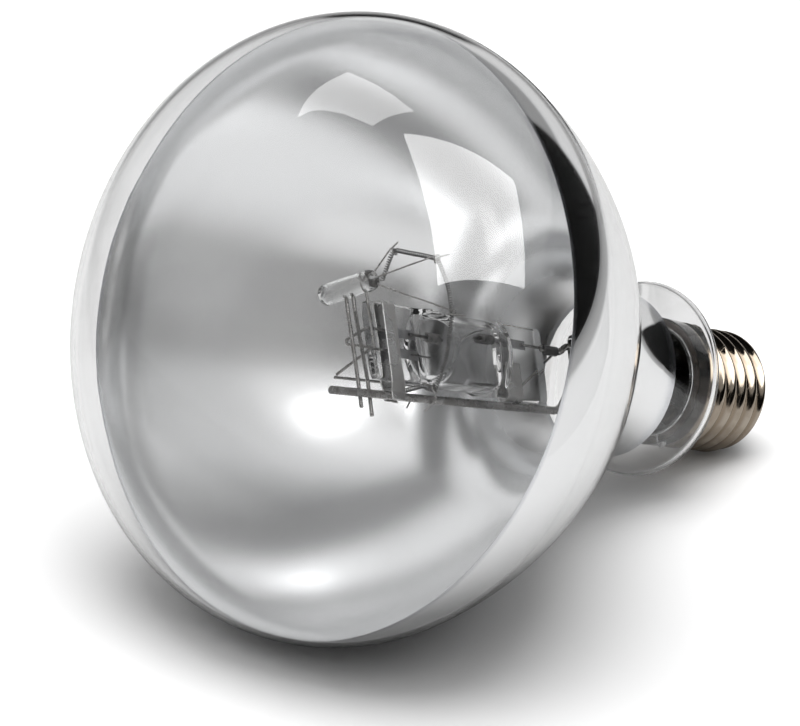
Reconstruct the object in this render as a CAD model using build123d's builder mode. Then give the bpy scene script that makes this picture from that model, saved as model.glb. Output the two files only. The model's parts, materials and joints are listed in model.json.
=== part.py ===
# Mercury vapour reflector lamp for a terrarium: a blown reflector bulb with a screw cap.
# Inside it a quartz arc tube hangs on a wire frame, in series with a coiled ballast filament.
# The lamp lies on its side: it touches the floor with the bowl and with the last turn of the thread.
from build123d import *
import os
from math import acos, asin, atan2, cos, degrees, hypot, pi, radians, sin

os.makedirs("parts", exist_ok=True)

# Driving dimensions, millimetres and degrees

# Glass envelope, front to back
bulb_diameter = 127.0
face_height = 32.8  # from the widest plane to the tip of the face
rim_round = 28.2  # round of the widest part
rim_wrap = 20.0  # how far the rim round goes on behind the widest plane
bowl_round = 100.8
bowl_slope = 50.0  # where the bowl turns into the throat
waist_diameter = 35.2
neck_diameter = 41.4
flare_round = 28.0  # hollow round from the waist out to the neck
neck_edge_round = 3.0
spigot_diameter = 22.4  # neck tube that the cap is cemented to
spigot_round = 1.5
spigot_length = 12.5
glass_wall = 1.0

# Mirror coating on the inside of the bowl, drawn thicker than it is
coating_front = 4.6  # front edge, ahead of the widest plane
coating_tail = 4.0  # rear edge, behind the waist
coating_wall = 0.1
coating_gap = 0.05

# Screw cap
thread_diameter = 26.4
thread_root_diameter = 24.2
thread_pitch = 3.629
thread_crests = 5
thread_land = 0.6  # flat on each crest and in each root
skirt_diameter = 26.5
skirt_length = 4.1
skirt_taper = 1.4
shell_gap = 1.4  # from the glass shoulder to the edge of the shell
shell_land = 0.6  # plain edge behind the thread
shell_wall = 0.3
cement_depth = 9.5
insulator_height = 4.3
insulator_base = 21.6
insulator_tip = 13.0
insulator_bore = 4.0
insulator_seat_depth = 2.0
cast_gap = 0.02  # between cast or pressed glass and what it holds
contact_diameter = 9.6
contact_height = 2.3
contact_wall = 0.5
contact_round = 0.8

# Stem of the mount, one piece of glass: flare, tube, flat press and exhaust tube
press_front = 77.5  # front end of the press, behind the mount's zero plane
press_length = 10.0
press_width = 15.0
press_thickness = 4.2
press_round = 1.6
stem_taper = 5.0
stem_diameter = 13.0
stem_wall = 1.2
flare_length = 9.0
exhaust_diameter = 5.0
exhaust_wall = 0.9
exhaust_length = 24.0
lead_spread = 9.0  # between the two leads in the press
lead_depth = 6.0  # how deep the leads sit in the press
outer_lead_diameter = 0.5
outer_lead_bend = 1.0
side_lead_rise = 0.6  # where the side lead goes over the shell's edge
side_weld_diameter = 2.2
side_weld_drop = 0.8

# The mount is turned about the lamp's axis and stands on the neck. Heights are above that axis, sides are
# across it, and places are behind the mount's own zero plane, which is near the widest plane
mount_turn = 30.4
mount_reach = 112.0  # zero plane, ahead of the neck tube's end

# Quartz arc tube
tube_drop = 1.2  # its axis below the lamp's axis
tube_diameter = 15.2
tube_wall = 1.4
tube_front = 23.5  # front end of the round body, behind the zero plane
tube_length = 25.4
tube_shoulder = 4.2
pinch_length = 14.8
pinch_width = 16.0
pinch_thickness = 2.6
pinch_round = 0.8
cavity_end = 0.8  # quartz between the cavity and the pinch
cavity_slot = 1.0  # thickness of the cavity's flat end
cavity_edge = 2.2  # quartz beside the cavity's flat end

# Molybdenum foils, electrodes and their leads in the pinches
foil_width = 2.0
foil_thickness = 0.1
foil_length = 9.0
foil_end = 1.0  # quartz between the foil and the round body
main_foil_height = 1.0
probe_foil_height = -3.2
rear_foil_height = 2.9
foil_lap = 2.0  # weld of a wire on its foil
electrode_diameter = 0.7
electrode_reach = 6.5  # into the cavity
electrode_coil_diameter = 2.2
electrode_coil_length = 4.0
electrode_coil_set = 1.2  # coil behind the electrode's tip
probe_diameter = 0.4
probe_reach = 2.0
tube_lead_diameter = 0.6

# Frame that carries the arc tube
weld_gap = 0.02  # between wires that are welded side by side
rail_diameter = 1.7
rail_front = 5.3  # front end, ahead of the zero plane
rail_front_height = -13.1
rail_rear = 69.0  # where the rail turns in to the press
rail_rear_height = -10.2
rail_bend = 5.0
rail_entry = 3.2  # straight run ahead of the press
strap_width = 3.8
strap_thickness = 0.3
strap_place = 14.0
strap_gap = 0.03
strap_foot = 1.0
strap_foot_bend = 0.6
rear_strap_width = 5.0
rear_strap_place = 52.2
rear_strap_reach = 8.0
rear_lead_diameter = 1.5
rear_lead_gap = 0.6  # behind the arc tube's rear pinch
rear_lead_bend = 4.0
sleeve_diameter = 2.1
sleeve_length = 5.0
sleeve_set = 1.0  # behind the rear lead's front end

# Leads of the arc tube's front pinch
hairpin_exit = 1.0
hairpin_side = -4.1
hairpin_drop = 1.5
hairpin_width = 1.0
hairpin_reach = 2.4
hairpin_bend = 0.45
lead_exit_bend = 0.5

# Starter circuit: a thin rail on the far side of the arc tube and its resistor
starter_diameter = 0.6
starter_side = -8.0
starter_front = 6.0
starter_front_height = -7.3
starter_rear_height = -5.3
resistor_place = 46.0
resistor_tip_length = 2.8
resistor_tip_diameter = 1.4
resistor_ball_diameter = 2.1
resistor_diameter = 1.9
resistor_length = 9.0
resistor_lead_run = 2.5
resistor_lead_bend = 1.0
resistor_weld = 1.4

# Ballast filament, a fine coil that hangs round the arc tube on four hooks
filament_diameter = 0.95
filament_place = 20.2
filament_bend = 1.3
filament_start = (-4.3, 13.5)
filament_corners = ((-0.3, 19.0), (10.4, 14.2), (12.3, 2.3), (5.4, -12.0))
filament_crossing = (2.4, -10.15)  # passes between the pinch and the rail
filament_end = (-3.4, -9.9)
hook_diameter = 0.35
hook_clearance = 0.15
hook_tail = 2.6
feed_diameter = 0.4
rail_hook_place = 25.2
rail_hook_tail = 1.8
tail_weld_place = 18.6

# Glass bead that the upper hooks are set in, on two legs
bead_diameter = 4.4
bead_length = 14.4
bead_height = 9.0
bead_place = 4.0
bead_round = 1.6
bead_depth = 1.2  # how deep wires are set in the bead
upper_hook_roots = ((5.0, 0.9), (6.0, 0.5), (6.0, -0.6))
feed_root = (3.4, 0.2)
leg_diameter = 0.55
leg_places = (4.7, 7.7)  # where the legs are welded to the rail
leg_tails = (2.7, 4.3)
leg_sides = (-0.9, 0.9)
leg_rise = 3.0
leg_bend = 2.0
stay_side = 4.4
stay_diameter = 0.6

# Mercury in the arc tube
mercury_diameters = (1.3, 0.9, 0.7)
mercury_spread = 9.0
mercury_pitch = 1.3
mercury_set = 6.5  # ahead of the rear end of the round body

# Profile of the glass, worked out as arcs that meet tangentially: radius outwards, axis forwards
bulb_radius = bulb_diameter / 2
rim_r = bulb_radius - rim_round
face_offset = (rim_r**2 - (face_height - rim_round) ** 2) / (2 * (face_height - rim_round))
face_round = face_height + face_offset
face_turn = degrees(atan2(face_offset, rim_r))
bowl_r = rim_r - (bowl_round - rim_round) * cos(radians(rim_wrap))
bowl_s = (bowl_round - rim_round) * sin(radians(rim_wrap))
throat_start_r = bowl_r + bowl_round * cos(radians(bowl_slope))
throat_round = (throat_start_r - waist_diameter / 2) / (1 - cos(radians(bowl_slope)))
waist_s = bowl_s - (bowl_round + throat_round) * sin(radians(bowl_slope))
throat_r = waist_diameter / 2 + throat_round
flare_r = waist_diameter / 2 + flare_round
neck_rise = (neck_diameter - waist_diameter) / 2
flare_slope = degrees(acos(1 - neck_rise / (flare_round + neck_edge_round)))
edge_r = neck_diameter / 2 - neck_edge_round
edge_s = waist_s - (flare_round + neck_edge_round) * sin(radians(flare_slope))
shoulder_s = edge_s - neck_edge_round
spigot_r = spigot_diameter / 2
spigot_end = shoulder_s - spigot_length
coating_rear = waist_s - coating_tail

# Places along the cap
thread_r = thread_diameter / 2
root_r = thread_root_diameter / 2
skirt_r = skirt_diameter / 2
shell_top = shoulder_s - shell_gap
skirt_end = shell_top - skirt_length
first_root = skirt_end - skirt_taper
last_root = first_root - thread_crests * thread_pitch
crest_edge = last_root + (thread_pitch - thread_land) / 2  # rear edge of the last crest
shell_end = last_root - shell_land
insulator_end = shell_end - insulator_height
contact_end = insulator_end - contact_height

# The lie of the lamp: one line touches the bowl's arc and the last crest's rear edge
run = bowl_s - crest_edge
rise = bowl_r - thread_r
tilt = atan2(rise, run) + asin(bowl_round / hypot(run, rise))
floor_drop = bowl_r * cos(tilt) - bowl_s * sin(tilt) + bowl_round
front_reach = face_round - face_offset * cos(tilt)
back_reach = max(
    contact_diameter / 2 * sin(tilt) - contact_end * cos(tilt),
    thread_r * sin(tilt) - crest_edge * cos(tilt),
)
lamp = Plane(
    origin=(0, (front_reach - back_reach) / 2, floor_drop),
    x_dir=(1, 0, 0),
    z_dir=(0, -cos(tilt), sin(tilt)),
)
lamp_axis = Axis(lamp.origin, lamp.z_dir)
section = Plane(origin=lamp.origin, x_dir=lamp.x_dir, z_dir=-lamp.y_dir)
mount_side = lamp.x_dir * cos(radians(mount_turn)) + lamp.y_dir * sin(radians(mount_turn))
mount_s = spigot_end + mount_reach
mount = Plane(origin=lamp.offset(mount_s).origin, x_dir=mount_side, z_dir=lamp.z_dir)


def save(piece, name):
    """Labels a finished piece and writes it."""
    piece.part.label = name
    export_step(piece.part, f"parts/{name}.step")


def glass_body(inset):
    """Solid of the envelope's outline, drawn in by the inset."""
    with BuildPart() as body:
        with BuildSketch(section):
            with BuildLine():
                CenterArc((0, -face_offset), face_round - inset, 90, face_turn - 90)
                CenterArc((rim_r, 0), rim_round - inset, face_turn, -face_turn - rim_wrap)
                CenterArc((bowl_r, bowl_s), bowl_round - inset, -rim_wrap, rim_wrap - bowl_slope)
                CenterArc((throat_r, waist_s), throat_round + inset, 180 - bowl_slope, bowl_slope)
                CenterArc((flare_r, waist_s), flare_round + inset, 180, flare_slope)
                CenterArc((edge_r, edge_s), neck_edge_round - inset, flare_slope, -90 - flare_slope)
                Line((edge_r, shoulder_s + inset), (spigot_r + spigot_round, shoulder_s + inset))
                spigot_turn = (spigot_r + spigot_round, shoulder_s - spigot_round)
                CenterArc(spigot_turn, spigot_round + inset, 90, 90)
                Polyline(
                    (spigot_r - inset, shoulder_s - spigot_round),
                    (spigot_r - inset, spigot_end),
                    (0, spigot_end),
                    (0, face_height - inset),
                )
            make_face()
        revolve(axis=lamp_axis)
    return body


def shell_body(inset):
    """Solid of the screw shell's outline, drawn in by the inset."""
    with BuildPart() as body:
        with BuildSketch(section):
            with BuildLine():
                outline = [
                    (0, shell_top),
                    (skirt_r - inset, shell_top),
                    (skirt_r - inset, skirt_end),
                    (root_r - inset, first_root),
                ]
                for crest in range(thread_crests):
                    crest_s = first_root - (crest + 0.5) * thread_pitch
                    root_s = first_root - (crest + 1) * thread_pitch
                    outline.append((root_r - inset, root_s + thread_pitch - thread_land / 2))
                    outline.append((thread_r - inset, crest_s + thread_land / 2))
                    outline.append((thread_r - inset, crest_s - thread_land / 2))
                    outline.append((root_r - inset, root_s + thread_land / 2))
                outline.append((root_r - inset, shell_end + inset))
                outline.append((0, shell_end + inset))
                Polyline(*outline, close=True)
            make_face()
        revolve(axis=lamp_axis)
    return body


def turned(outline):
    """Solid turned about the lamp's axis from points of radius and place."""
    with BuildPart() as body:
        with BuildSketch(section):
            with BuildLine():
                Polyline(*outline, close=True)
            make_face()
        revolve(axis=lamp_axis)
    return body


def bent_wire(points, diameter, bend=0.0):
    """Round wire through points of the mount, with a round bend at each corner."""
    with BuildPart() as bent:
        with BuildLine() as path:
            if len(points) > 2:
                FilletPolyline(*points, radius=bend)
            else:
                Line(*points)
        with BuildSketch(Plane(origin=path.line @ 0, z_dir=path.line % 0)):
            Circle(diameter / 2)
        sweep()
    with BuildPart() as wire:
        add(mount.from_local_coords(bent.part))
    return wire


# Envelope: one blown piece, open where the stem is sealed in
inside = glass_body(glass_wall)
with BuildPart() as envelope:
    add(glass_body(0).part)
    add(inside.part, mode=Mode.SUBTRACT)
save(envelope, "envelope")

# Mirror coating between its front and rear edges
with BuildPart() as mirror_coating:
    add(glass_body(glass_wall + coating_gap).part)
    add(glass_body(glass_wall + coating_gap + coating_wall).part, mode=Mode.SUBTRACT)
    with BuildSketch(lamp.offset(coating_rear)):
        Circle(bulb_radius)
    extrude(amount=coating_front - coating_rear, mode=Mode.INTERSECT)
save(mirror_coating, "mirror_coating")

# Screw shell: skirt, rolled thread and an edge turned in over the insulator
with BuildPart() as screw_shell:
    add(shell_body(0).part)
    add(shell_body(shell_wall).part, mode=Mode.SUBTRACT)
    with BuildSketch(lamp.offset(shell_end)):
        Circle(insulator_base / 2)
    extrude(amount=shell_wall, mode=Mode.SUBTRACT)
save(screw_shell, "screw_shell")

# Insulator: black glass cast into the shell's end, with a hole for the centre lead
insulator_r = insulator_base / 2
insulator_seat = root_r - shell_wall - cast_gap
insulator_top = shell_end + shell_wall + insulator_seat_depth
insulator = turned(
    (
        (insulator_bore / 2, insulator_top),
        (insulator_seat, insulator_top),
        (insulator_seat, shell_end + shell_wall + cast_gap),
        (insulator_r - cast_gap, shell_end + shell_wall + cast_gap),
        (insulator_r - cast_gap, shell_end),
        (insulator_tip / 2, insulator_end),
        (insulator_bore / 2, insulator_end),
    )
)
save(insulator, "insulator")

# Centre contact: a shallow stamped cup with a flat end
contact_r = contact_diameter / 2
with BuildPart() as centre_contact:
    with BuildSketch(lamp.offset(insulator_end)):
        Circle(contact_r)
    extrude(amount=-contact_height)
    fillet(centre_contact.edges().filter_by(GeomType.CIRCLE).sort_by(lamp_axis)[0], contact_round)
    with BuildSketch(lamp.offset(insulator_end)):
        Circle(contact_r - contact_wall)
    extrude(amount=contact_wall - contact_height, mode=Mode.SUBTRACT)
save(centre_contact, "centre_contact")

# Main rail: the thick lead that carries the whole mount, from its front end back into the press
rail_r = rail_diameter / 2
lead_end = press_front + lead_depth


def rail_height(place):
    """Height of the main rail's axis at a place behind the zero plane."""
    share = (place + rail_front) / (rail_rear + rail_front)
    return rail_front_height + (rail_rear_height - rail_front_height) * share


main_rail = bent_wire(
    (
        (0, rail_front_height, rail_front),
        (0, rail_rear_height, -rail_rear),
        (0, -lead_spread / 2, rail_entry - press_front),
        (0, -lead_spread / 2, -lead_end),
    ),
    rail_diameter,
    rail_bend,
)
save(main_rail, "main_rail")

# Rear lead: from behind the arc tube back into the press, with a sleeve on it
tube_rear = tube_front + tube_length
rear_pinch_end = tube_rear + pinch_length
front_pinch_end = tube_front - pinch_length
rear_lead_front = rear_pinch_end + rear_lead_gap
sleeve_front = rear_lead_front + sleeve_set
sleeve_end = sleeve_front + sleeve_length
rear_lead = bent_wire(
    (
        (0, rear_foil_height, -rear_lead_front),
        (0, rear_foil_height, -sleeve_end - resistor_weld),
        (0, lead_spread / 2, rail_entry - press_front),
        (0, lead_spread / 2, -lead_end),
    ),
    rear_lead_diameter,
    rear_lead_bend,
)
save(rear_lead, "rear_lead")

sleeve_plane = Plane(
    origin=mount.from_local_coords((0, rear_foil_height, -sleeve_front)),
    x_dir=mount.x_dir,
    z_dir=mount.z_dir,
)
with BuildPart() as lead_sleeve:
    with BuildSketch(sleeve_plane):
        Circle(sleeve_diameter / 2)
        Circle(rear_lead_diameter / 2 + weld_gap, mode=Mode.SUBTRACT)
    extrude(amount=-sleeve_length)
save(lead_sleeve, "lead_sleeve")

# Outer leads: from the press through the stem to the centre contact and over the shell's edge
press_end = press_front + press_length
stem_top = press_end + stem_taper
exhaust_end = stem_top + exhaust_length
stem_r = stem_diameter / 2
lead_lane = (exhaust_diameter / 2 + stem_r - stem_wall) / 2
outer_lead_start = lead_end + weld_gap
contact_lead = bent_wire(
    (
        (0, lead_spread / 2, -outer_lead_start),
        (0, lead_spread / 2, -press_end),
        (0, lead_lane, -stem_top),
        (0, lead_lane, -exhaust_end),
        (0, 0, -exhaust_end - lead_lane),
        (0, 0, contact_end + contact_wall + weld_gap - mount_s),
    ),
    outer_lead_diameter,
    outer_lead_bend,
)
save(contact_lead, "contact_lead")

side_lane = (spigot_r + root_r - shell_wall) / 2
side_turn = spigot_end - outer_lead_bend - mount_s
side_edge = shell_top + side_lead_rise - mount_s
side_weld_place = shell_top - side_weld_drop - mount_s
side_out = skirt_r + outer_lead_diameter / 2 + weld_gap
side_bend = outer_lead_diameter
side_lead = bent_wire(
    (
        (0, -lead_spread / 2, -outer_lead_start),
        (0, -lead_spread / 2, -press_end),
        (0, -lead_lane, -stem_top),
        (0, -lead_lane, side_turn),
        (0, -side_lane, side_turn),
        (0, -side_lane, side_edge),
        (0, -side_out, side_edge),
        (0, -side_out, side_weld_place),
    ),
    outer_lead_diameter,
    (outer_lead_bend, outer_lead_bend, side_bend, side_bend, side_bend, side_bend),
)
save(side_lead, "side_lead")

with BuildPart() as side_weld:
    with Locations(mount.from_local_coords((0, -skirt_r, side_weld_place))):
        Sphere(side_weld_diameter / 2)
    add(shell_body(0).part, mode=Mode.SUBTRACT)
    with BuildSketch(lamp.offset(shell_top)):
        Circle(skirt_diameter)
    extrude(amount=side_weld_diameter, mode=Mode.SUBTRACT)
    add(side_lead.part, mode=Mode.SUBTRACT)
save(side_weld, "side_weld")

# Basing cement between the neck tube and the shell, round the side lead
cement_top = shell_top - cast_gap
skirt_bore = skirt_r - shell_wall - cast_gap
root_bore = root_r - shell_wall - cast_gap
with BuildPart() as basing_cement:
    with BuildSketch(section):
        with BuildLine():
            Polyline(
                (spigot_r + cast_gap, cement_top),
                (skirt_bore, cement_top),
                (skirt_bore, skirt_end),
                (root_bore, first_root),
                (root_bore, cement_top - cement_depth),
                (spigot_r + cast_gap, cement_top - cement_depth),
                close=True,
            )
        make_face()
    revolve(axis=lamp_axis)
    add(side_lead.part, mode=Mode.SUBTRACT)
save(basing_cement, "basing_cement")

# Stem: flare and tube turned about the axis, press and taper on the mount's own plane
flare_rim = spigot_r - glass_wall - cast_gap
stem_s = mount_s - stem_top
with BuildPart() as stem:
    with BuildSketch(section):
        with BuildLine():
            outer_run = Line((stem_r, stem_s), (stem_r, spigot_end + flare_length))
            outer_flare = TangentArc(outer_run @ 1, (flare_rim, spigot_end), tangent=(0, -1))
            Line(outer_flare @ 1, (flare_rim - stem_wall, spigot_end))
            inner_flare = TangentArc(
                (stem_r - stem_wall, spigot_end + flare_length),
                (flare_rim - stem_wall, spigot_end),
                tangent=(0, -1),
            )
            inner_run = Line(inner_flare @ 0, (stem_r - stem_wall, stem_s))
            Line(inner_run @ 1, outer_run @ 0)
        make_face()
    revolve(axis=lamp_axis)
    with BuildSketch(mount.offset(-press_front)):
        RectangleRounded(press_thickness, press_width, press_round)
    extrude(amount=-press_length)
    with BuildSketch(mount.offset(-press_end)):
        Ellipse(press_thickness / 2, press_width / 2)
    with BuildSketch(mount.offset(-stem_top)):
        Circle(stem_r)
    loft()
    with BuildSketch(mount.offset(-stem_top)):
        Circle(exhaust_diameter / 2)
    extrude(amount=-exhaust_length)
    fillet(stem.edges().filter_by(GeomType.CIRCLE).sort_by(lamp_axis)[0], exhaust_diameter / 4)
    with BuildSketch(mount.offset(-stem_top)):
        Circle(exhaust_diameter / 2 - exhaust_wall)
    extrude(amount=exhaust_wall - exhaust_length, mode=Mode.SUBTRACT)
    for lead in (main_rail, rear_lead, contact_lead, side_lead):
        add(lead.part, mode=Mode.SUBTRACT)
save(stem, "stem")

# Foils and wires that are pressed into the arc tube's pinches
front_foil_rear = tube_front - foil_end
front_foil_front = front_foil_rear - foil_length
rear_foil_front = tube_rear + foil_end
rear_foil_rear = rear_foil_front + foil_length
tip_front = tube_front + cavity_end + electrode_reach
tip_rear = tube_rear - cavity_end - electrode_reach
lead_side = (foil_thickness + tube_lead_diameter) / 2 + weld_gap
rod_side = (foil_thickness + electrode_diameter) / 2 + weld_gap
probe_side = (foil_thickness + probe_diameter) / 2 + weld_gap


def foil(height, front):
    """Thin foil, flat in the pinch, from its front end backwards."""
    with BuildPart() as strip:
        with BuildSketch(mount.offset(-front)):
            with Locations((0, height)):
                Rectangle(foil_thickness, foil_width)
        extrude(amount=-foil_length)
    return strip


def electrode(height, root, tip):
    """Rod from its weld on the foil into the cavity, with a coil wound on behind the tip."""
    inward = 1 if tip > root else -1
    coil_front = tip - inward * electrode_coil_set
    with BuildPart() as rod:
        with BuildSketch(mount.offset(-root)):
            with Locations((rod_side, height)):
                Circle(electrode_diameter / 2)
        extrude(amount=root - tip)
        with BuildSketch(mount.offset(-coil_front)):
            with Locations((rod_side, height)):
                Circle(electrode_coil_diameter / 2)
        extrude(amount=inward * electrode_coil_length)
    return rod


front_main_foil = foil(main_foil_height, front_foil_front)
front_probe_foil = foil(probe_foil_height, front_foil_front)
rear_main_foil = foil(rear_foil_height, rear_foil_front)
front_electrode = electrode(main_foil_height, front_foil_rear - foil_lap, tip_front)
rear_electrode = electrode(rear_foil_height, rear_foil_front + foil_lap, tip_rear)
starter_probe = bent_wire(
    (
        (probe_side, probe_foil_height, foil_lap - front_foil_rear),
        (probe_side, probe_foil_height, -tube_front - cavity_end - probe_reach),
    ),
    probe_diameter,
)

# Front main lead: out of the pinch, round a hairpin and back to the bead's stay
lead_root = front_foil_front + foil_lap
hairpin_out = hairpin_exit - front_pinch_end
hairpin_tip = hairpin_reach - front_pinch_end
hairpin_foot = (2 * lead_side + tube_lead_diameter / 2, probe_foil_height, hairpin_out)
front_main_lead = bent_wire(
    (
        (lead_side, main_foil_height, -lead_root),
        (lead_side, main_foil_height, hairpin_out),
        (hairpin_side, main_foil_height - hairpin_drop, hairpin_tip),
        (hairpin_side, main_foil_height - hairpin_drop - hairpin_width, hairpin_tip),
        hairpin_foot,
    ),
    tube_lead_diameter,
    (lead_exit_bend, hairpin_bend, hairpin_bend),
)

# Probe lead: out of the pinch and across to the top of the starter rail's front end
starter_weld_height = starter_front_height + (starter_diameter + tube_lead_diameter) / 2 + weld_gap
probe_lead = bent_wire(
    (
        (lead_side, probe_foil_height, -lead_root),
        (lead_side, probe_foil_height, hairpin_exit / 2 - front_pinch_end),
        (starter_side, starter_weld_height, -starter_front - tube_lead_diameter),
    ),
    tube_lead_diameter,
    lead_exit_bend,
)

# Rear tube lead: from the rear foil to the front end of the rear lead
rear_tube_lead = bent_wire(
    (
        (lead_side, rear_foil_height, foil_lap - rear_foil_rear),
        (lead_side, rear_foil_height, weld_gap - rear_lead_front),
    ),
    tube_lead_diameter,
)
pinch_wires = {
    "front_main_foil": front_main_foil,
    "front_probe_foil": front_probe_foil,
    "rear_main_foil": rear_main_foil,
    "front_electrode": front_electrode,
    "rear_electrode": rear_electrode,
    "starter_probe": starter_probe,
    "front_main_lead": front_main_lead,
    "probe_lead": probe_lead,
    "rear_tube_lead": rear_tube_lead,
}
for wire_name, pinch_wire in pinch_wires.items():
    save(pinch_wire, wire_name)

# Arc tube: a round quartz body whose two ends are pressed flat
tube = Plane(
    origin=mount.from_local_coords((0, -tube_drop, 0)), x_dir=mount.x_dir, z_dir=mount.z_dir
)
tube_r = tube_diameter / 2
bore_r = tube_r - tube_wall
barrel_front = tube_front + tube_shoulder
barrel_rear = tube_rear - tube_shoulder
with BuildPart() as arc_tube:
    with BuildSketch(tube.offset(-barrel_front)):
        Circle(tube_r)
    extrude(amount=barrel_front - barrel_rear)
    for barrel, end, outwards in ((barrel_front, tube_front, 1), (barrel_rear, tube_rear, -1)):
        with BuildSketch(tube.offset(-barrel)):
            Circle(tube_r)
        with BuildSketch(tube.offset(-end)):
            Ellipse(pinch_thickness / 2, pinch_width / 2)
        loft()
        with BuildSketch(tube.offset(-end)):
            RectangleRounded(pinch_thickness, pinch_width, pinch_round)
        extrude(amount=outwards * pinch_length)
    with BuildSketch(tube.offset(-barrel_front)):
        Circle(bore_r)
    extrude(amount=barrel_front - barrel_rear, mode=Mode.SUBTRACT)
    for barrel, end, outwards in ((barrel_front, tube_front, 1), (barrel_rear, tube_rear, -1)):
        with BuildSketch(tube.offset(-barrel)):
            Circle(bore_r)
        with BuildSketch(tube.offset(-end - outwards * cavity_end)):
            Ellipse(cavity_slot / 2, pinch_width / 2 - cavity_edge)
        loft(mode=Mode.SUBTRACT)
    for pinch_wire in pinch_wires.values():
        add(pinch_wire.part, mode=Mode.SUBTRACT)
save(arc_tube, "arc_tube")

# Mercury: drops that lie where the arc tube is lowest
with BuildPart() as mercury_drops:
    for drop, diameter in enumerate(mercury_diameters):
        turn = radians(270 - mount_turn + (drop - 1) * mercury_spread)
        lane = bore_r - diameter / 2 - weld_gap
        place = mercury_set - tube_rear + drop * mercury_pitch
        with Locations(tube.from_local_coords((lane * cos(turn), lane * sin(turn), place))):
            Sphere(diameter / 2)
save(mercury_drops, "mercury_drops")


# Straps: strips bent round the pinches and welded to the main rail
def strap(points, bends, place, width):
    """Flat strip bent along points across the mount."""
    with BuildPart() as strip:
        with BuildLine(mount.offset(-place)) as path:
            FilletPolyline(*points, radius=bends)
        with BuildSketch(Plane(origin=path.line @ 0, x_dir=mount.z_dir, z_dir=path.line % 0)):
            Rectangle(width, strap_thickness)
        sweep()
    return strip


strap_skin = strap_gap + strap_thickness / 2
strap_bend = pinch_round + strap_skin
strap_side = pinch_thickness / 2 + strap_skin
strap_top = pinch_width / 2 - tube_drop + strap_skin
pinch_bottom = -pinch_width / 2 - tube_drop
foot_side = rail_r + strap_skin
foot_height = rail_height(strap_place)
near_leg = (
    (foot_side, foot_height - strap_foot),
    (foot_side, foot_height + strap_foot_bend),
    (strap_side, pinch_bottom - strap_foot_bend),
    (strap_side, strap_top),
)
far_leg = tuple((-side, height) for side, height in reversed(near_leg))
front_strap = strap(
    near_leg + far_leg,
    (strap_foot_bend, strap_foot_bend, strap_bend, strap_bend, strap_foot_bend, strap_foot_bend),
    strap_place,
    strap_width,
)
save(front_strap, "front_strap")

clip_rail = rail_height(rear_strap_place + rear_strap_width / 2)
clip_bottom = clip_rail + rail_r + weld_gap + strap_thickness / 2
rear_strap = strap(
    (
        (strap_side, clip_bottom + rear_strap_reach),
        (strap_side, clip_bottom),
        (-strap_side, clip_bottom),
        (-strap_side, clip_bottom + rear_strap_reach),
    ),
    (strap_bend, strap_bend),
    rear_strap_place,
    rear_strap_width,
)
save(rear_strap, "rear_strap")

# Starter rail and resistor, on one line past the far side of the arc tube
starter_run = resistor_place - starter_front
resistor_end = resistor_place + resistor_tip_length + resistor_ball_diameter + resistor_length
starter_slope = (starter_rear_height - starter_front_height) / (resistor_end - starter_front)
starter = Plane(
    origin=mount.from_local_coords((starter_side, starter_front_height, -starter_front)),
    x_dir=mount.x_dir,
    z_dir=mount.z_dir - mount.y_dir * starter_slope,
)
with BuildPart() as starter_rail:
    with BuildSketch(starter):
        Circle(starter_diameter / 2)
    extrude(amount=-starter_run)
save(starter_rail, "starter_rail")

resistor_section = Plane(origin=starter.origin, x_dir=starter.x_dir, z_dir=-starter.y_dir)
tip_end = -starter_run - weld_gap - resistor_tip_length
ball_middle = tip_end - resistor_ball_diameter / 2
body_front = tip_end - resistor_ball_diameter
with BuildPart() as starting_resistor:
    with BuildSketch(resistor_section):
        with BuildLine():
            Polyline(
                (0, -starter_run - weld_gap),
                (starter_diameter / 2, -starter_run - weld_gap),
                (resistor_tip_diameter / 2, tip_end),
                (resistor_tip_diameter / 2, body_front),
                (resistor_diameter / 2, body_front),
                (resistor_diameter / 2, body_front - resistor_length),
                (0, body_front - resistor_length),
                close=True,
            )
        make_face()
    revolve(axis=Axis(starter.origin, starter.z_dir))
    with Locations(starter.from_local_coords((0, 0, ball_middle))):
        Sphere(resistor_ball_diameter / 2)
save(starting_resistor, "starting_resistor")

resistor_tail = mount.to_local_coords(
    starter.from_local_coords(Vector(0, 0, body_front - resistor_length - weld_gap))
)
weld_side = -(rear_lead_diameter + starter_diameter) / 2 - weld_gap
resistor_lead = bent_wire(
    (
        resistor_tail,
        resistor_tail - Vector(0, 0, resistor_lead_run),
        (weld_side, rear_foil_height, -sleeve_end - resistor_weld / 2),
    ),
    starter_diameter,
    resistor_lead_bend,
)
save(resistor_lead, "resistor_lead")


# Ballast filament: the coil is drawn as a tube of its outer diameter, bent where it hangs on a hook
def at_filament(point):
    """Point of the filament's plane, in the mount."""
    return Vector(point[0], point[1], -filament_place)


filament_route = [
    at_filament(point)
    for point in (filament_start, *filament_corners, filament_crossing, filament_end)
]
ballast_filament = bent_wire(filament_route, filament_diameter, filament_bend)
save(ballast_filament, "ballast_filament")

# Hooks: each wire runs to a bend of the filament, once round it and on to a short tail
hook_r = hook_diameter / 2
loop_r = filament_diameter / 2 + hook_r + hook_clearance
loop_sides = 6
loop_reach = loop_r / cos(pi / loop_sides)
loop_step = 2 * pi / loop_sides
loop_advance = 2 * hook_diameter


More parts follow.
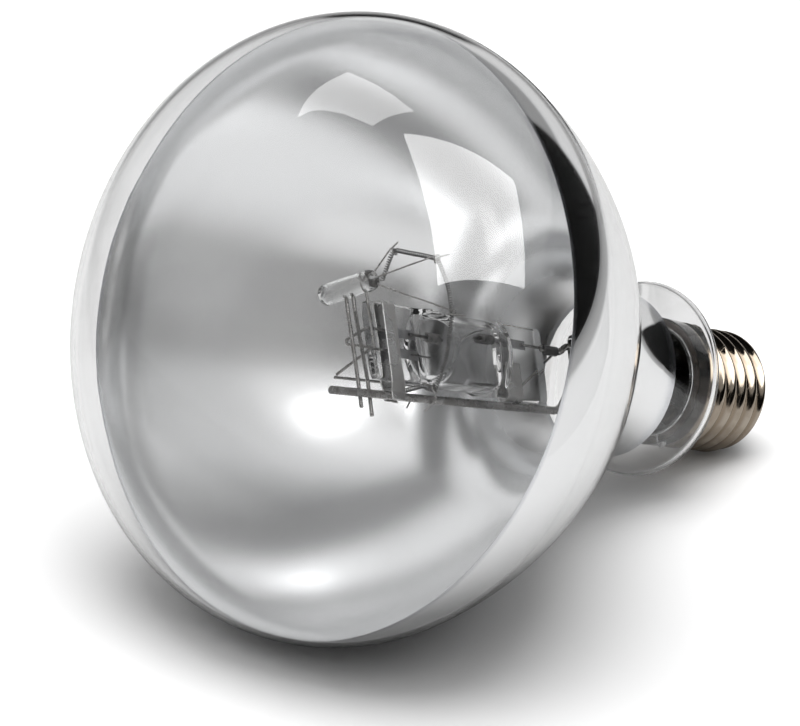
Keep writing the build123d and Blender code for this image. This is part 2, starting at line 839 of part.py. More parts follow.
def hook(roots, corner):
    """Hook wire from its root points to the numbered corner of the filament's route."""
    before, bend, after = filament_route[corner - 1 : corner + 2]
    arm_in = (before - bend).normalized()
    arm_out = (after - bend).normalized()
    half_angle = radians(arm_in.get_angle(arm_out)) / 2
    inwards = (arm_in + arm_out).normalized()
    middle = bend + inwards * (filament_bend / sin(half_angle) - filament_bend)
    along = (arm_out - arm_in).normalized()
    arrival = middle - Vector(roots[-1])
    ahead = (arrival - along * arrival.dot(along)).normalized()
    across = along.cross(ahead)
    points = list(roots)
    for side in range(loop_sides):
        turn = loop_step * (1 - side)
        rim = ahead * (loop_reach * cos(turn)) + across * (loop_reach * sin(turn))
        points.append(middle + rim + along * (loop_advance * (side / loop_sides - 0.5)))
    points.append(middle + ahead * hook_tail + across * loop_r + along * (loop_advance / 2))
    bends = [loop_r * 0.5] * (len(roots) - 1) + [loop_r * 0.9] * loop_sides
    return bent_wire(points, hook_diameter, bends)


bead_r = bead_diameter / 2
upper_hooks = [
    hook([(side, bead_height + rise, bead_depth - bead_place - bead_r)], corner + 1)
    for corner, (side, rise) in enumerate(upper_hook_roots)
]
for number, upper_hook in enumerate(upper_hooks, start=1):
    save(upper_hook, f"upper_hook_{number}")

# Lower hook: it passes under the main rail
under_rail = rail_height(rail_hook_place) - rail_r - hook_r - weld_gap
rail_hook = hook(
    [
        (-rail_hook_tail, under_rail - rail_hook_tail / 2, -rail_hook_place),
        (-hook_r, under_rail, -rail_hook_place),
        (rail_r + hook_diameter, under_rail, -rail_hook_place),
    ],
    len(filament_corners),
)
save(rail_hook, "rail_hook")

# Feed and return of the filament: from the bead to its start, and from its end to the rail
feed_gap = (filament_diameter + feed_diameter) / 2 + weld_gap
filament_feed = bent_wire(
    (
        (feed_root[0], bead_height + feed_root[1], bead_depth - bead_place - bead_r),
        (filament_start[0] - feed_gap, filament_start[1], -filament_place),
    ),
    feed_diameter,
)
save(filament_feed, "filament_feed")

return_side = -rail_r - feed_diameter / 2 - weld_gap
filament_return = bent_wire(
    (
        (filament_end[0], filament_end[1] - feed_gap, -filament_place),
        (return_side, rail_height(filament_place), -filament_place),
        (return_side, rail_height(tail_weld_place) - rail_hook_tail, -tail_weld_place),
    ),
    feed_diameter,
    feed_diameter * 2,
)
save(filament_return, "filament_return")

# Bead legs, welded to the far side of the rail, and the stay down to the front main lead
leg_lane = -rail_r - leg_diameter / 2 - weld_gap
bead_bottom = bead_height - bead_r
leg_names = ("bead_leg_front", "bead_leg_rear")
bead_wires = list(upper_hooks) + [filament_feed]
for leg_name, place, tail, side in zip(leg_names, leg_places, leg_tails, leg_sides):
    bead_leg = bent_wire(
        (
            (leg_lane, rail_height(place) - tail, -place),
            (leg_lane, rail_height(place) + leg_rise, -place),
            (side, bead_bottom - leg_rise, -bead_place),
            (side, bead_bottom + bead_depth, -bead_place),
        ),
        leg_diameter,
        leg_bend,
    )
    bead_wires.append(bead_leg)
    save(bead_leg, leg_name)

stay_foot = Vector(hairpin_foot) + Vector((tube_lead_diameter + stay_diameter) / 2 + weld_gap, 0, 0)
bead_stay = bent_wire(
    (
        (stay_side, bead_bottom + bead_depth, -bead_place),
        (stay_side, bead_bottom - leg_rise, -bead_place),
        stay_foot,
    ),
    stay_diameter,
    leg_bend,
)
bead_wires.append(bead_stay)
save(bead_stay, "bead_stay")

# Bead: a glass rod across the mount, melted round its wires
bead_plane = Plane(
    origin=mount.from_local_coords((-bead_length / 2, bead_height, -bead_place)),
    x_dir=mount.y_dir,
    z_dir=mount.x_dir,
)
with BuildPart() as glass_bead:
    with BuildSketch(bead_plane):
        Circle(bead_r)
    extrude(amount=bead_length)
    fillet(glass_bead.edges().filter_by(GeomType.CIRCLE), bead_round)
    for bead_wire in bead_wires:
        add(bead_wire.part, mode=Mode.SUBTRACT)
save(glass_bead, "glass_bead")
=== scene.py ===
# %% [markdown]
# # A mercury vapour reflector bulb
# The real lamp is a blown glass bulb with a mirror evaporated onto the inside of its bowl.
# Through the clear face one sees a quartz arc tube on a wire mount, and a coiled ballast filament.
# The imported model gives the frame: where the axis lies, how large the bulb is and which pieces there are.

# %% Load the frame
import json
import bpy
import bmesh
import numpy as np
from mathutils import Matrix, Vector
from math import acos, atan2, cos, degrees, pi, radians, sin


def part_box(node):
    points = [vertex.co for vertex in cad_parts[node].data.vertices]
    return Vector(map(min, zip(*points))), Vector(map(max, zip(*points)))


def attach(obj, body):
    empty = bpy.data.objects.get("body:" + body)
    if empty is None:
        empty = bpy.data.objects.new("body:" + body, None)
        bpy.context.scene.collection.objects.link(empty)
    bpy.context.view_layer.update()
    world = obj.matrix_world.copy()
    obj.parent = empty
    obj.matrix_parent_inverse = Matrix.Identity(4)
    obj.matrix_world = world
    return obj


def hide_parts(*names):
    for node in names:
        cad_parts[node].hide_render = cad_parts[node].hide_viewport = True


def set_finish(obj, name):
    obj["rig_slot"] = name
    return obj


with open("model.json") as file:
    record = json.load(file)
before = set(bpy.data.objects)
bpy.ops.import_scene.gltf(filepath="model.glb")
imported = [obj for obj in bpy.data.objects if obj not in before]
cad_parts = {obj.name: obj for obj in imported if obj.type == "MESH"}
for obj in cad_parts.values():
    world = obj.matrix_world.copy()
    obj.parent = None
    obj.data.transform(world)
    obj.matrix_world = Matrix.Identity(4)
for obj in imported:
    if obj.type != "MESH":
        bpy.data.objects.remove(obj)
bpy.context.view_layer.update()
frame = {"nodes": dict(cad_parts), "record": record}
print("nodes in the frame:", len(frame["nodes"]))

# %% [markdown]
# ## The lamp's own axes
# Every piece of the lamp was turned, pressed or welded about one axis, so the shapes are worked out in
# millimetres from that axis and only then laid down as the lamp lies. The frame's record holds the
# flat end of the centre contact and the direction of the axis there, which is all that is needed.

# %% Axes and places
MM = 0.001
contact_end = -131.749
mount_turn = radians(30.4)
contact_face = next(m for m in frame["record"]["mounts"] if m["name"] == "contact_face")
ahead = -np.array(contact_face["axis"], float)
ahead /= np.linalg.norm(ahead)
side = np.array([1.0, 0.0, 0.0])
up = np.cross(ahead, side)
widest = np.array(contact_face["pos_m"], float) - ahead * contact_end * MM
mount_side = cos(mount_turn) * side + sin(mount_turn) * up
mount_up = cos(mount_turn) * up - sin(mount_turn) * side


def on_lamp(points):
    """Row of the lamp: the widest plane's middle plus side, up and ahead times the three coordinates."""
    return widest + MM * np.asarray(points, float) @ np.stack([side, up, ahead])


def on_mount(points):
    """The same about the mount's axes, which are turned about the lamp's axis."""
    return widest + MM * np.asarray(points, float) @ np.stack([mount_side, mount_up, ahead])


print("widest plane's middle:", widest.round(4), "axis:", ahead.round(4))

# %% [markdown]
# ## From grids to pieces
# A surface is a grid of points, rows by columns, worked out as whole arrays. Neighbouring points make
# quads. A grid that closes on itself takes its first row or column again, and rows that shrink to a
# point are merged. The sign of the enclosed volume tells whether the faces point outwards.

# %% Grid helpers
all_pieces = {}


def quads_of(rows, columns, wrap_rows, wrap_columns):
    """Corner numbers of the quads between neighbouring rows and columns of a grid."""
    index = np.arange(rows * columns).reshape(rows, columns)
    if wrap_rows:
        index = np.vstack([index, index[:1]])
    if wrap_columns:
        index = np.hstack([index, index[:, :1]])
    corners = [index[:-1, :-1], index[:-1, 1:], index[1:, 1:], index[1:, :-1]]
    return np.stack(corners, -1).reshape(-1, 4)


def enclosed(points, quads):
    """Volume inside the quads: a sixth of the sum of corner products over their triangles."""
    a, b, c, d = (points[quads[:, k]] for k in range(4))
    first = np.einsum("ij,ij->i", a, np.cross(b, c))
    second = np.einsum("ij,ij->i", a, np.cross(c, d))
    return (first + second).sum() / 6


def solid_of(grid, hollow=False):
    """A grid whose columns close and whose first and last rows are points."""
    return grid, False, True, hollow


def ring_of(grid):
    """A grid that closes both ways, as a ring does."""
    return grid, True, True, False


def make_piece(name, surfaces, slot, node, sharp=50):
    """One mesh object from closed surfaces: (grid, wrap rows, wrap columns, hollow)."""
    points, quads, count = [], [], 0
    for grid, wrap_rows, wrap_columns, hollow in surfaces:
        flat = grid.reshape(-1, 3)
        faces = quads_of(grid.shape[0], grid.shape[1], wrap_rows, wrap_columns)
        if (enclosed(flat - flat.mean(0), faces) < 0) != hollow:
            faces = faces[:, ::-1]
        points.append(flat)
        quads.append(faces + count)
        count += len(flat)
    mesh = bpy.data.meshes.new(name)
    mesh.from_pydata(np.vstack(points), [], np.vstack(quads).tolist())
    solid = bmesh.new()
    solid.from_mesh(mesh)
    bmesh.ops.remove_doubles(solid, verts=solid.verts, dist=1e-8)
    solid.to_mesh(mesh)
    solid.free()
    mesh.polygons.foreach_set("use_smooth", np.ones(len(mesh.polygons), bool))
    mesh.set_sharp_from_angle(angle=radians(sharp))
    piece = bpy.data.objects.new(name, mesh)
    bpy.context.scene.collection.objects.link(piece)
    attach(piece, "root")
    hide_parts(node)
    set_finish(piece, slot)
    all_pieces[name] = piece
    print(name, "faces:", len(mesh.polygons))
    return piece


# %% [markdown]
# ## Turned, drawn and wound shapes
# Three formulas make nearly everything. A turned shape carries a profile of radius and place round
# the axis. A wire carries a small section along a path with rounded corners. A coil is a wire whose
# path itself winds round another path.

# %% Shape helpers
side_way, up_way, axis_way = np.eye(3)


def unit(vectors):
    """Vectors divided by their own lengths."""
    return vectors / np.linalg.norm(vectors, axis=-1, keepdims=True)


def arc(centre, radius, start, turn, steps):
    """Points of an arc: the centre plus the radius times cosine and sine of evenly spaced angles."""
    angle = np.radians(np.linspace(start, start + turn, steps))
    return np.stack([centre[0] + radius * np.cos(angle), centre[1] + radius * np.sin(angle)], -1)


def round_about(radius, place, turn):
    """Grid of points about the axis: radius times cosine and sine of the turn, and the place."""
    return np.stack(np.broadcast_arrays(radius * np.cos(turn), radius * np.sin(turn), place), -1)


def turned(profile, columns=96):
    """Turned grid: each profile point of radius and place goes once round the axis."""
    profile = np.asarray(profile, float)
    return round_about(profile[:, :1], profile[:, 1:], np.arange(columns) * (2 * pi / columns))


def turned_along(start, end, profile, columns=24):
    """Turned shape whose axis runs from one point to another, with places measured from the start."""
    line = unit(np.array(end, float) - np.array(start, float))
    first = unit(np.cross(line, up_way))
    return np.array(start, float) + turned(profile, columns) @ np.stack([first, np.cross(line, first), line])


def rounded(points, bends, steps=8):
    """Path along straight runs with a tangent arc of the given radius at each inner point."""
    points = np.asarray(points, float)
    bends = np.broadcast_to(np.asarray(bends, float), len(points) - 2)
    path = [points[:1]]
    for before, corner, after, bend in zip(points[:-2], points[1:-1], points[2:], bends):
        arm_in, arm_out = unit(before - corner), unit(after - corner)
        half = acos(np.clip(arm_in @ arm_out, -1, 1)) / 2
        inwards, along = unit(arm_in + arm_out), unit(arm_out - arm_in)
        middle = corner + inwards * bend / sin(half)
        swing = np.linspace(half - pi / 2, pi / 2 - half, steps)[:, None]
        path.append(middle + bend * (np.sin(swing) * along - np.cos(swing) * inwards))
    path.append(points[-1:])
    return np.vstack(path)


def spaced(path, step):
    """The same path with points at equal distances, no further apart than the step."""
    run = np.concatenate([[0], np.cumsum(np.linalg.norm(np.diff(path, axis=0), axis=1))])
    places = np.linspace(0, run[-1], max(2, int(run[-1] / step) + 1))
    return np.stack([np.interp(places, run, path[:, k]) for k in range(3)], -1)


def frames(path, across=None):
    """Two directions square to the path at each point, the second as near as can be to the given one.
    Without one, it is the direction square to the plane that lies nearest to the path."""
    if across is None:
        across = np.linalg.svd(path - path.mean(0))[2][-1]
    tangent = unit(np.gradient(path, axis=0))
    first = unit(np.cross(np.broadcast_to(across, path.shape), tangent))
    return first, np.cross(tangent, first)


def drawn(path, section, across=None):
    """Drawn grid: the section's two coordinates along the two cross directions at each path point.
    Each end is closed by a smaller section and a point."""
    first, second = frames(path, across)
    body = path[:, None] + section[:, :1] * first[:, None] + section[:, 1:] * second[:, None]
    shrink = np.array([0, 0.8])[:, None, None]
    start = path[:1, None] + shrink * (body[:1] - path[:1, None])
    end = path[-1:, None] + shrink[::-1] * (body[-1:] - path[-1:, None])
    return np.concatenate([start, body, end])


def circle(radius, sides):
    """Round section: the radius times cosine and sine."""
    return arc((0, 0), radius, 0, 360 - 360 / sides, sides)


def wire(points, diameter, bends, sides, across=None):
    """Round wire through points, with rounded corners."""
    path = rounded(points, bends) if len(points) > 2 else np.asarray(points, float)
    return drawn(path, circle(diameter / 2, sides), across)


def coil(path, outer, thickness, pitch, across, sides=7, per_turn=16):
    """Wound wire: its middle goes round the path once per pitch, at the coil's radius."""
    path = spaced(path, pitch / per_turn)
    first, second = frames(path, across)
    turn = np.arange(len(path))[:, None] * (2 * pi / per_turn)
    radial = np.cos(turn) * first + np.sin(turn) * second
    middle = path + radial * (outer - thickness) / 2
    binormal = unit(np.cross(unit(np.gradient(middle, axis=0)), radial))
    ring = circle(thickness / 2, sides)
    body = middle[:, None] + ring[:, :1] * radial[:, None] + ring[:, 1:] * binormal[:, None]
    return np.concatenate([middle[:1, None] + 0 * body[:1], body, middle[-1:, None] + 0 * body[-1:]])


def ball(diameter, columns):
    """Ball: a half circle turned about the axis, with its two ends on the axis."""
    grid = turned(arc((0, 0), diameter / 2, 90, -180, 14), columns)
    grid[[0, -1], :, :2] = 0
    return grid


print("shape helpers: turned, drawn, wound")

# %% [markdown]
# ## The glass envelope
# The bulb is blown in one piece: a domed face, a tight round at the widest part, the bowl, a waist
# and a neck that flares out above the cap. Its outline is a chain of arcs that meet tangentially.
# The wall is real, outside and inside, because a reflection needs both skins of the glass.

# %% Envelope
bulb_radius = (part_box("envelope")[1].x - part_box("envelope")[0].x) / 2 / MM
face_height, rim_round, rim_wrap = 32.8, 28.2, 20.0
bowl_round, bowl_slope = 100.8, 50.0
waist_radius, neck_radius, flare_round, neck_edge = 17.6, 20.7, 28.0, 3.0
spigot_radius, spigot_round, spigot_length, glass_wall = 11.2, 1.5, 12.5, 1.0
rim_r = bulb_radius - rim_round
face_offset = (rim_r**2 - (face_height - rim_round) ** 2) / (2 * (face_height - rim_round))
face_round = face_height + face_offset
face_turn = degrees(atan2(face_offset, rim_r))
bowl_r = rim_r - (bowl_round - rim_round) * cos(radians(rim_wrap))
bowl_s = (bowl_round - rim_round) * sin(radians(rim_wrap))
throat_start = bowl_r + bowl_round * cos(radians(bowl_slope))
throat_round = (throat_start - waist_radius) / (1 - cos(radians(bowl_slope)))
throat_turn = 180 - bowl_slope
waist_s = bowl_s - (bowl_round + throat_round) * sin(radians(bowl_slope))
flare_slope = degrees(acos(1 - (neck_radius - waist_radius) / (flare_round + neck_edge)))
edge_r = neck_radius - neck_edge
edge_s = waist_s - (flare_round + neck_edge) * sin(radians(flare_slope))
shoulder = edge_s - neck_edge
spigot_end = shoulder - spigot_length
spigot_points = 8
bulb_columns = 200


def glass_profile(inset):
    """Outline of the glass from the tip of the face back to the neck tube's end, drawn in by the inset."""
    spigot_centre = (spigot_radius + spigot_round, shoulder - spigot_round)
    return np.vstack([
        arc((0, -face_offset), face_round - inset, 90, face_turn - 90, 40),
        arc((rim_r, 0), rim_round - inset, face_turn, -face_turn - rim_wrap, 40)[1:],
        arc((bowl_r, bowl_s), bowl_round - inset, -rim_wrap, rim_wrap - bowl_slope, 40)[1:],
        arc((waist_radius + throat_round, waist_s), throat_round + inset, throat_turn, bowl_slope, 24)[1:],
        arc((waist_radius + flare_round, waist_s), flare_round + inset, 180, flare_slope, 14)[1:],
        arc((edge_r, edge_s), neck_edge - inset, flare_slope, -90 - flare_slope, 12)[1:],
        arc(spigot_centre, spigot_round + inset, 90, 90, spigot_points - 1),
        [[spigot_radius - inset, spigot_end]],
    ])


envelope_profile = np.vstack([glass_profile(0), glass_profile(glass_wall)[::-1]])
envelope_profile[[0, -1], 0] = 0
envelope_grid = on_lamp(turned(envelope_profile, bulb_columns))
envelope = make_piece("glass_envelope", [solid_of(envelope_grid)], "clear_glass", "envelope")

# %% [markdown]
# ## The mirror
# A film of aluminium covers the inside of the bowl, from just ahead of the widest plane back to the
# waist. It is far too thin to draw, so it stands a hair inside the glass with a wall of its own.

# %% Mirror film
coating_front, coating_rear, coating_gap, coating_wall = 4.6, -87.0, 0.05, 0.1


def film_profile(inset):
    """Part of the glass outline between the film's two edges, which are found by interpolation."""
    outline = glass_profile(glass_wall + inset)[:-spigot_points]
    inner = outline[(outline[:, 1] < coating_front) & (outline[:, 1] > coating_rear)]
    places = np.concatenate([[coating_front], inner[:, 1], [coating_rear]])
    return np.stack([np.interp(places, outline[::-1, 1], outline[::-1, 0]), places], -1)


film = np.vstack([film_profile(coating_gap), film_profile(coating_gap + coating_wall)[::-1]])
film_grid = on_lamp(turned(film, bulb_columns))
make_piece("mirror_film", [ring_of(film_grid)], "mirror_film", "mirror_coating")

# %% [markdown]
# ## The screw cap
# The shell is thin sheet rolled into a screw: a skirt, then a right-handed thread. Its radius is a
# wave along the axis whose phase turns once per lap, so the crest climbs one pitch each time round.

# %% Screw shell
thread_radius, root_radius, thread_pitch, crests = 13.2, 12.1, 3.629, 5
skirt_radius, skirt_length, skirt_taper = 13.25, 4.1, 1.4
shell_wall, lip_radius = 0.3, 10.8
shell_top = shoulder - 1.4
skirt_end = shell_top - skirt_length
first_root = skirt_end - skirt_taper
last_root = first_root - crests * thread_pitch
shell_end = last_root - 0.6
thread_start, fade_in_run, fade_out_run = first_root + 0.5, 2.2, 1.2


def shell_grid(inset, rows=170, columns=160):
    """Skirt, then a cosine wave of place minus pitch times turn, faded out at both ends of the thread."""
    place = np.linspace(shell_top, shell_end, rows)[:, None]
    turn = np.arange(columns) / columns
    height = (thread_radius - root_radius) / 2
    wave = np.cos(2 * pi * ((place - last_root) / thread_pitch - turn))
    fade_in = np.clip((thread_start - place) / fade_in_run, 0, 1)
    fade_out = np.clip((place - shell_end) / fade_out_run, 0, 1)
    fade = (fade_in * fade_out) ** 2 * (3 - 2 * fade_in) * (3 - 2 * fade_out)
    screw = root_radius + fade * height * (1 + wave)
    blend = np.clip((place - first_root) / skirt_taper, 0, 1)
    blend = blend**2 * (3 - 2 * blend)
    radius = screw + (skirt_radius - screw) * blend - inset
    return round_about(radius, place, 2 * pi * turn)


shell_inner = shell_grid(shell_wall)[::-1]
lip = turned([(lip_radius, shell_end), (lip_radius, shell_end + shell_wall)], shell_inner.shape[1])
shell_surface = on_lamp(np.concatenate([shell_grid(0), lip, shell_inner]))
screw_shell = make_piece("screw_cap_shell", [ring_of(shell_surface)], "nickel_plate", "screw_shell")

# %% [markdown]
# ## Insulator, contact, solder and cement
# Black glass is cast into the end of the shell and carries a stamped contact. The side lead comes
# over the edge of the skirt and is soldered there. Cement fills the space between shell and neck.
# The first three are rings turned from a profile, and the solder is a flattened ball.

# %% Cap pieces
insulator_top, insulator_step, insulator_end = shell_end + 2.3, shell_end + 0.32, shell_end - 4.3
insulator_bore, insulator_radius = 2.0, 11.7
contact_radius, contact_round, contact_wall = 4.8, 0.8, 0.5
contact_inside = contact_end + contact_wall
cement_bore, cement_radius, root_fit = 11.22, 12.93, 11.78
cement_top, cement_end = shell_top - 0.02, shell_top - 9.5
weld_diameter, weld_flatness = 2.2, (1.0, 1.0, 0.7)
weld_place = np.array((0, -skirt_radius, shell_top - 0.8))
insulator_profile = np.vstack([
    [(insulator_bore, insulator_top), (insulator_radius, insulator_top)],
    [(insulator_radius, insulator_step), (lip_radius - 0.02, insulator_step)],
    arc((9.9, shell_end - 0.1), 0.8, 20, -62, 6),
    arc((6.9, insulator_end + 0.6), 0.6, -40, -50, 6),
    [(insulator_bore, insulator_end)],
])
contact_profile = np.vstack([
    [(contact_radius - contact_wall, insulator_end), (contact_radius, insulator_end)],
    arc((contact_radius - contact_round, contact_end + contact_round), contact_round, 0, -90, 8),
    [(1.9, contact_end), (1.2, contact_end + 0.1), (0, contact_end + 0.12), (0, contact_inside)],
    [(contact_radius - 0.9, contact_inside), (contact_radius - contact_wall, contact_end + 0.9)],
])
cement_profile = [
    (cement_bore, cement_top), (11.9, shell_top - 0.12), (cement_radius, cement_top),
    (cement_radius, skirt_end), (root_fit, first_root), (root_fit, cement_end), (cement_bore, cement_end),
]
for name, profile, slot, node, sharp in (
    ("black_insulator", insulator_profile, "black_glass", "insulator", 30),
    ("centre_contact_cap", contact_profile, "contact_metal", "centre_contact", 40),
    ("cement_ring", cement_profile, "cement", "basing_cement", 30),
):
    make_piece(name, [ring_of(on_lamp(turned(profile)))], slot, node, sharp)
weld = weld_place + ball(weld_diameter, 24) * weld_flatness
make_piece("solder_blob", [solid_of(on_mount(weld))], "solder", "side_weld")

# %% [markdown]
# ## Stem
# The stem is a glass tube whose front end is pressed flat round the two leads. It carries the whole
# mount and is sealed into the neck by its flare. Its sections change from a flat oval to a circle.

# %% Stem
press_front, press_end, stem_top = -77.5, -87.5, -92.5
press_x, press_y, press_power = 2.1, 7.5, 5
stem_radius, stem_wall, flare_rim, flare_run = 6.5, 1.2, 10.18, 9.0
press_rows, flare_rows = 40, 24


def eased(place, start, end):
    """Smooth step from 0 at the start to 1 at the end: three squares minus two cubes."""
    share = np.clip((place - start) / (end - start), 0, 1)
    return share**2 * (3 - 2 * share)


def oval_grid(places, half_x, half_y, power, columns=64, middle=(0, 0)):
    """Sections whose half widths and squareness change along the axis: powers of cosine and sine."""
    angle = np.arange(columns) * (2 * pi / columns) + pi / columns
    share = 2 / np.asarray(power, float)[:, None]
    grid = np.empty((len(places), columns, 3))
    grid[..., 0] = middle[0] + half_x[:, None] * np.sign(np.cos(angle)) * np.abs(np.cos(angle)) ** share
    grid[..., 1] = middle[1] + half_y[:, None] * np.sign(np.sin(angle)) * np.abs(np.sin(angle)) ** share
    grid[..., 2] = np.asarray(places)[:, None]
    return grid


stem_places = np.concatenate([[press_front] * 3, np.linspace(press_front - 0.3, stem_top, press_rows)])
stem_round = eased(stem_places, press_end, stem_top)
stem_size = np.concatenate([[0, 0.5, 0.9], np.full(press_rows, 1.0)])
stem_x = (press_x + (stem_radius - press_x) * stem_round) * stem_size
stem_y = (press_y + (stem_radius - press_y) * stem_round) * stem_size
press_grid = oval_grid(stem_places, stem_x, stem_y, press_power - 3 * stem_round)
flare_place = np.linspace(stem_top - 0.5, spigot_end, flare_rows)
flare_share = np.clip((spigot_end + flare_run - flare_place) / flare_run, 0, 1)
flare_radius = stem_radius + (flare_rim - stem_radius) * flare_share**3
tube_out = oval_grid(flare_place, flare_radius, flare_radius, np.full(flare_rows, 2.0))
bore_places = np.concatenate([flare_place[::-1], [stem_top + 1.0, stem_top + 2.0]])
bore_radius = np.concatenate([flare_radius[::-1] - stem_wall, [3.0, 0.0]])
tube_in = oval_grid(bore_places, bore_radius, bore_radius, np.full(flare_rows + 2, 2.0))
stem_grid = on_mount(np.concatenate([press_grid, tube_out, tube_in]))
make_piece("glass_stem", [solid_of(stem_grid)], "stem_glass", "stem", 60)

# %% [markdown]
# ## Leads
# Two stout wires come forward out of the press and carry the current and the mount, and two thin ones
# go back to the contact and over the skirt. All are drawn wire, bent on a jig: a circle that is carried
# along straight runs with rounded corners, so a list of points is enough for each.

# %% Leads
rail_diameter, rail_front, rail_front_height = 1.7, 5.3, -13.1
rail_rear, rail_rear_height, lead_spread, lead_end = -69.0, -10.2, 9.0, -83.5
rear_foil_height, rear_lead_front, sleeve_end = 2.9, -64.3, -70.3
rail_radius, lead_half, weld_gap = rail_diameter / 2, lead_spread / 2, 0.02
lead_turn, thin_lane, thin_start = press_front + 3.2, 3.9, lead_end - weld_gap
side_turn, skirt_over, skirt_lane, spigot_lane = spigot_end - 1.0, shell_top + 0.6, -13.52, -11.5


def rail_height(place):
    """Height of the main rail's middle line at a place along the axis."""
    return np.interp(place, [rail_rear, rail_front], [rail_rear_height, rail_front_height])


def mount_wire(node, points, diameter, bends=0.5, slot="plated_wire", sides=14):
    """Round wire of the mount as a piece that is named after its node."""
    across = up_way if len(points) == 2 else None
    grid = on_mount(wire(points, diameter, bends, sides, across))
    make_piece(node + "_wire", [solid_of(grid)], slot, node)


def in_plane(*points):
    """Points of a wire in the plane through the mount's axis, from heights and places."""
    return [(0, height, place) for height, place in points]


main_rail = in_plane(
    (rail_front_height, rail_front), (rail_rear_height, rail_rear), (-lead_half, lead_turn),
    (-lead_half, lead_end))
rear_lead = in_plane(
    (rear_foil_height, rear_lead_front), (rear_foil_height, sleeve_end - 1.4), (lead_half, lead_turn),
    (lead_half, lead_end))
contact_lead = in_plane(
    (lead_half, thin_start), (lead_half, press_end), (thin_lane, stem_top), (thin_lane, -116.5), (0, -120.4),
    (0, contact_inside + weld_gap))
side_lead = in_plane(
    (-lead_half, thin_start), (-lead_half, press_end), (-thin_lane, stem_top), (-thin_lane, side_turn),
    (spigot_lane, side_turn), (spigot_lane, skirt_over), (skirt_lane, skirt_over),
    (skirt_lane, weld_place[2]))
mount_wire("main_rail", main_rail, rail_diameter, 5.0, sides=24)
mount_wire("rear_lead", rear_lead, 1.5, 4.0)
mount_wire("contact_lead", contact_lead, 0.5, 1.0)
mount_wire("side_lead", side_lead, 0.5, [1.0, 1.0, 0.5, 0.5, 0.5, 0.5])

# %% [markdown]
# ## The arc tube
# A quartz tube is heated and pressed flat at both ends round thin foils, which carry the current
# through the seal. The sections change from a circle to a flat bar, and the hollow inside does too.

# %% Arc tube
tube_drop, tube_radius, bore = -1.2, 7.6, 6.2
tube_front, tube_rear, shoulder_run, pinch_length = -23.5, -48.9, 4.2, 14.8
pinch_x, pinch_y = 1.3, 8.0
hollow_x, hollow_y, hollow_inset = 0.5, 5.8, 0.8
pinch_front, pinch_rear = tube_front + pinch_length, tube_rear - pinch_length
hollow_front, hollow_rear = tube_front - hollow_inset, tube_rear + hollow_inset
round_front, round_rear = tube_front - shoulder_run, tube_rear + shoulder_run


def tube_sections(front, rear, half_x, half_y, round_radius, ends, steps):
    """Half widths along the tube: flat at both ends and round between, eased over the shoulders."""
    places = np.concatenate([np.linspace(front, round_front, steps), np.linspace(round_rear, rear, steps)])
    roundness = eased(places, ends[0], round_front) * eased(places, ends[1], round_rear)
    x = half_x + (round_radius - half_x) * roundness
    y = half_y + (round_radius - half_y) * roundness
    return places, x, y, roundness


def closed_ends(places, x, y, power, rim):
    """The sections with two smaller ones and a point added at each end, so that the piece is closed."""
    shrink = np.array([0, 0.6, 0.92])
    places = np.concatenate([[places[0]] * 3, places, [places[-1]] * 3])
    places[3] -= np.sign(places[3] - places[-4]) * rim
    places[-4] += np.sign(places[3] - places[-4]) * rim
    x = np.concatenate([shrink * x[0], x, shrink[::-1] * x[-1]])
    y = np.concatenate([shrink * y[0], y, shrink[::-1] * y[-1]])
    power = np.concatenate([[power[0]] * 3, power, [power[-1]] * 3])
    return on_mount(oval_grid(places, x, y, power, 72, (0, tube_drop)))


outside = tube_sections(pinch_front, pinch_rear, pinch_x, pinch_y, tube_radius, (tube_front, tube_rear), 40)
inside = tube_sections(hollow_front, hollow_rear, hollow_x, hollow_y, bore, (hollow_front, hollow_rear), 24)
tube_skin = solid_of(closed_ends(*outside[:3], 7 - 5 * outside[3], 0.25))
tube_hollow = solid_of(closed_ends(*inside[:3], 4 - 2 * inside[3], 0.2), True)
make_piece("quartz_arc_tube", [tube_skin, tube_hollow], "quartz", "arc_tube", 60)

# %% [markdown]
# ## Foils and electrodes
# Quartz can't be sealed to a wire, so thin molybdenum foils with feathered edges pass the current through
# each pinch. Tungsten rods are welded to them inside and leads outside. A foil is a thin lens section
# drawn straight, and an electrode is a rod with a close winding.

# %% Foils and electrodes
foil_front, foil_rear = -13.5, -22.5
rear_foil_front, rear_foil_rear = -49.9, -58.9
main_foil_height, probe_foil_height = 1.0, -3.2
rod_side, lead_side, probe_side, foil_overlap = 0.42, 0.37, 0.27, 2.0
rod_diameter, winding_diameter, winding_pitch, rod_reach = 0.7, 2.2, 0.78, 6.5
half_lens = np.array([(0, -1.0), (0.04, -0.7), (0.05, 0), (0.04, 0.7)])
foil_section = np.vstack([half_lens, -half_lens])

for foil_name, node, height, front, rear in (
    ("front_foil", "front_main_foil", main_foil_height, foil_front, foil_rear),
    ("probe_foil", "front_probe_foil", probe_foil_height, foil_front, foil_rear),
    ("rear_foil", "rear_main_foil", rear_foil_height, rear_foil_front, rear_foil_rear),
):
    foil_path = np.array(in_plane((height, front), (height, (front + rear) / 2), (height, rear)), float)
    foil = on_mount(drawn(foil_path, foil_section, up_way))
    make_piece(foil_name, [solid_of(foil)], "molybdenum", node, 30)

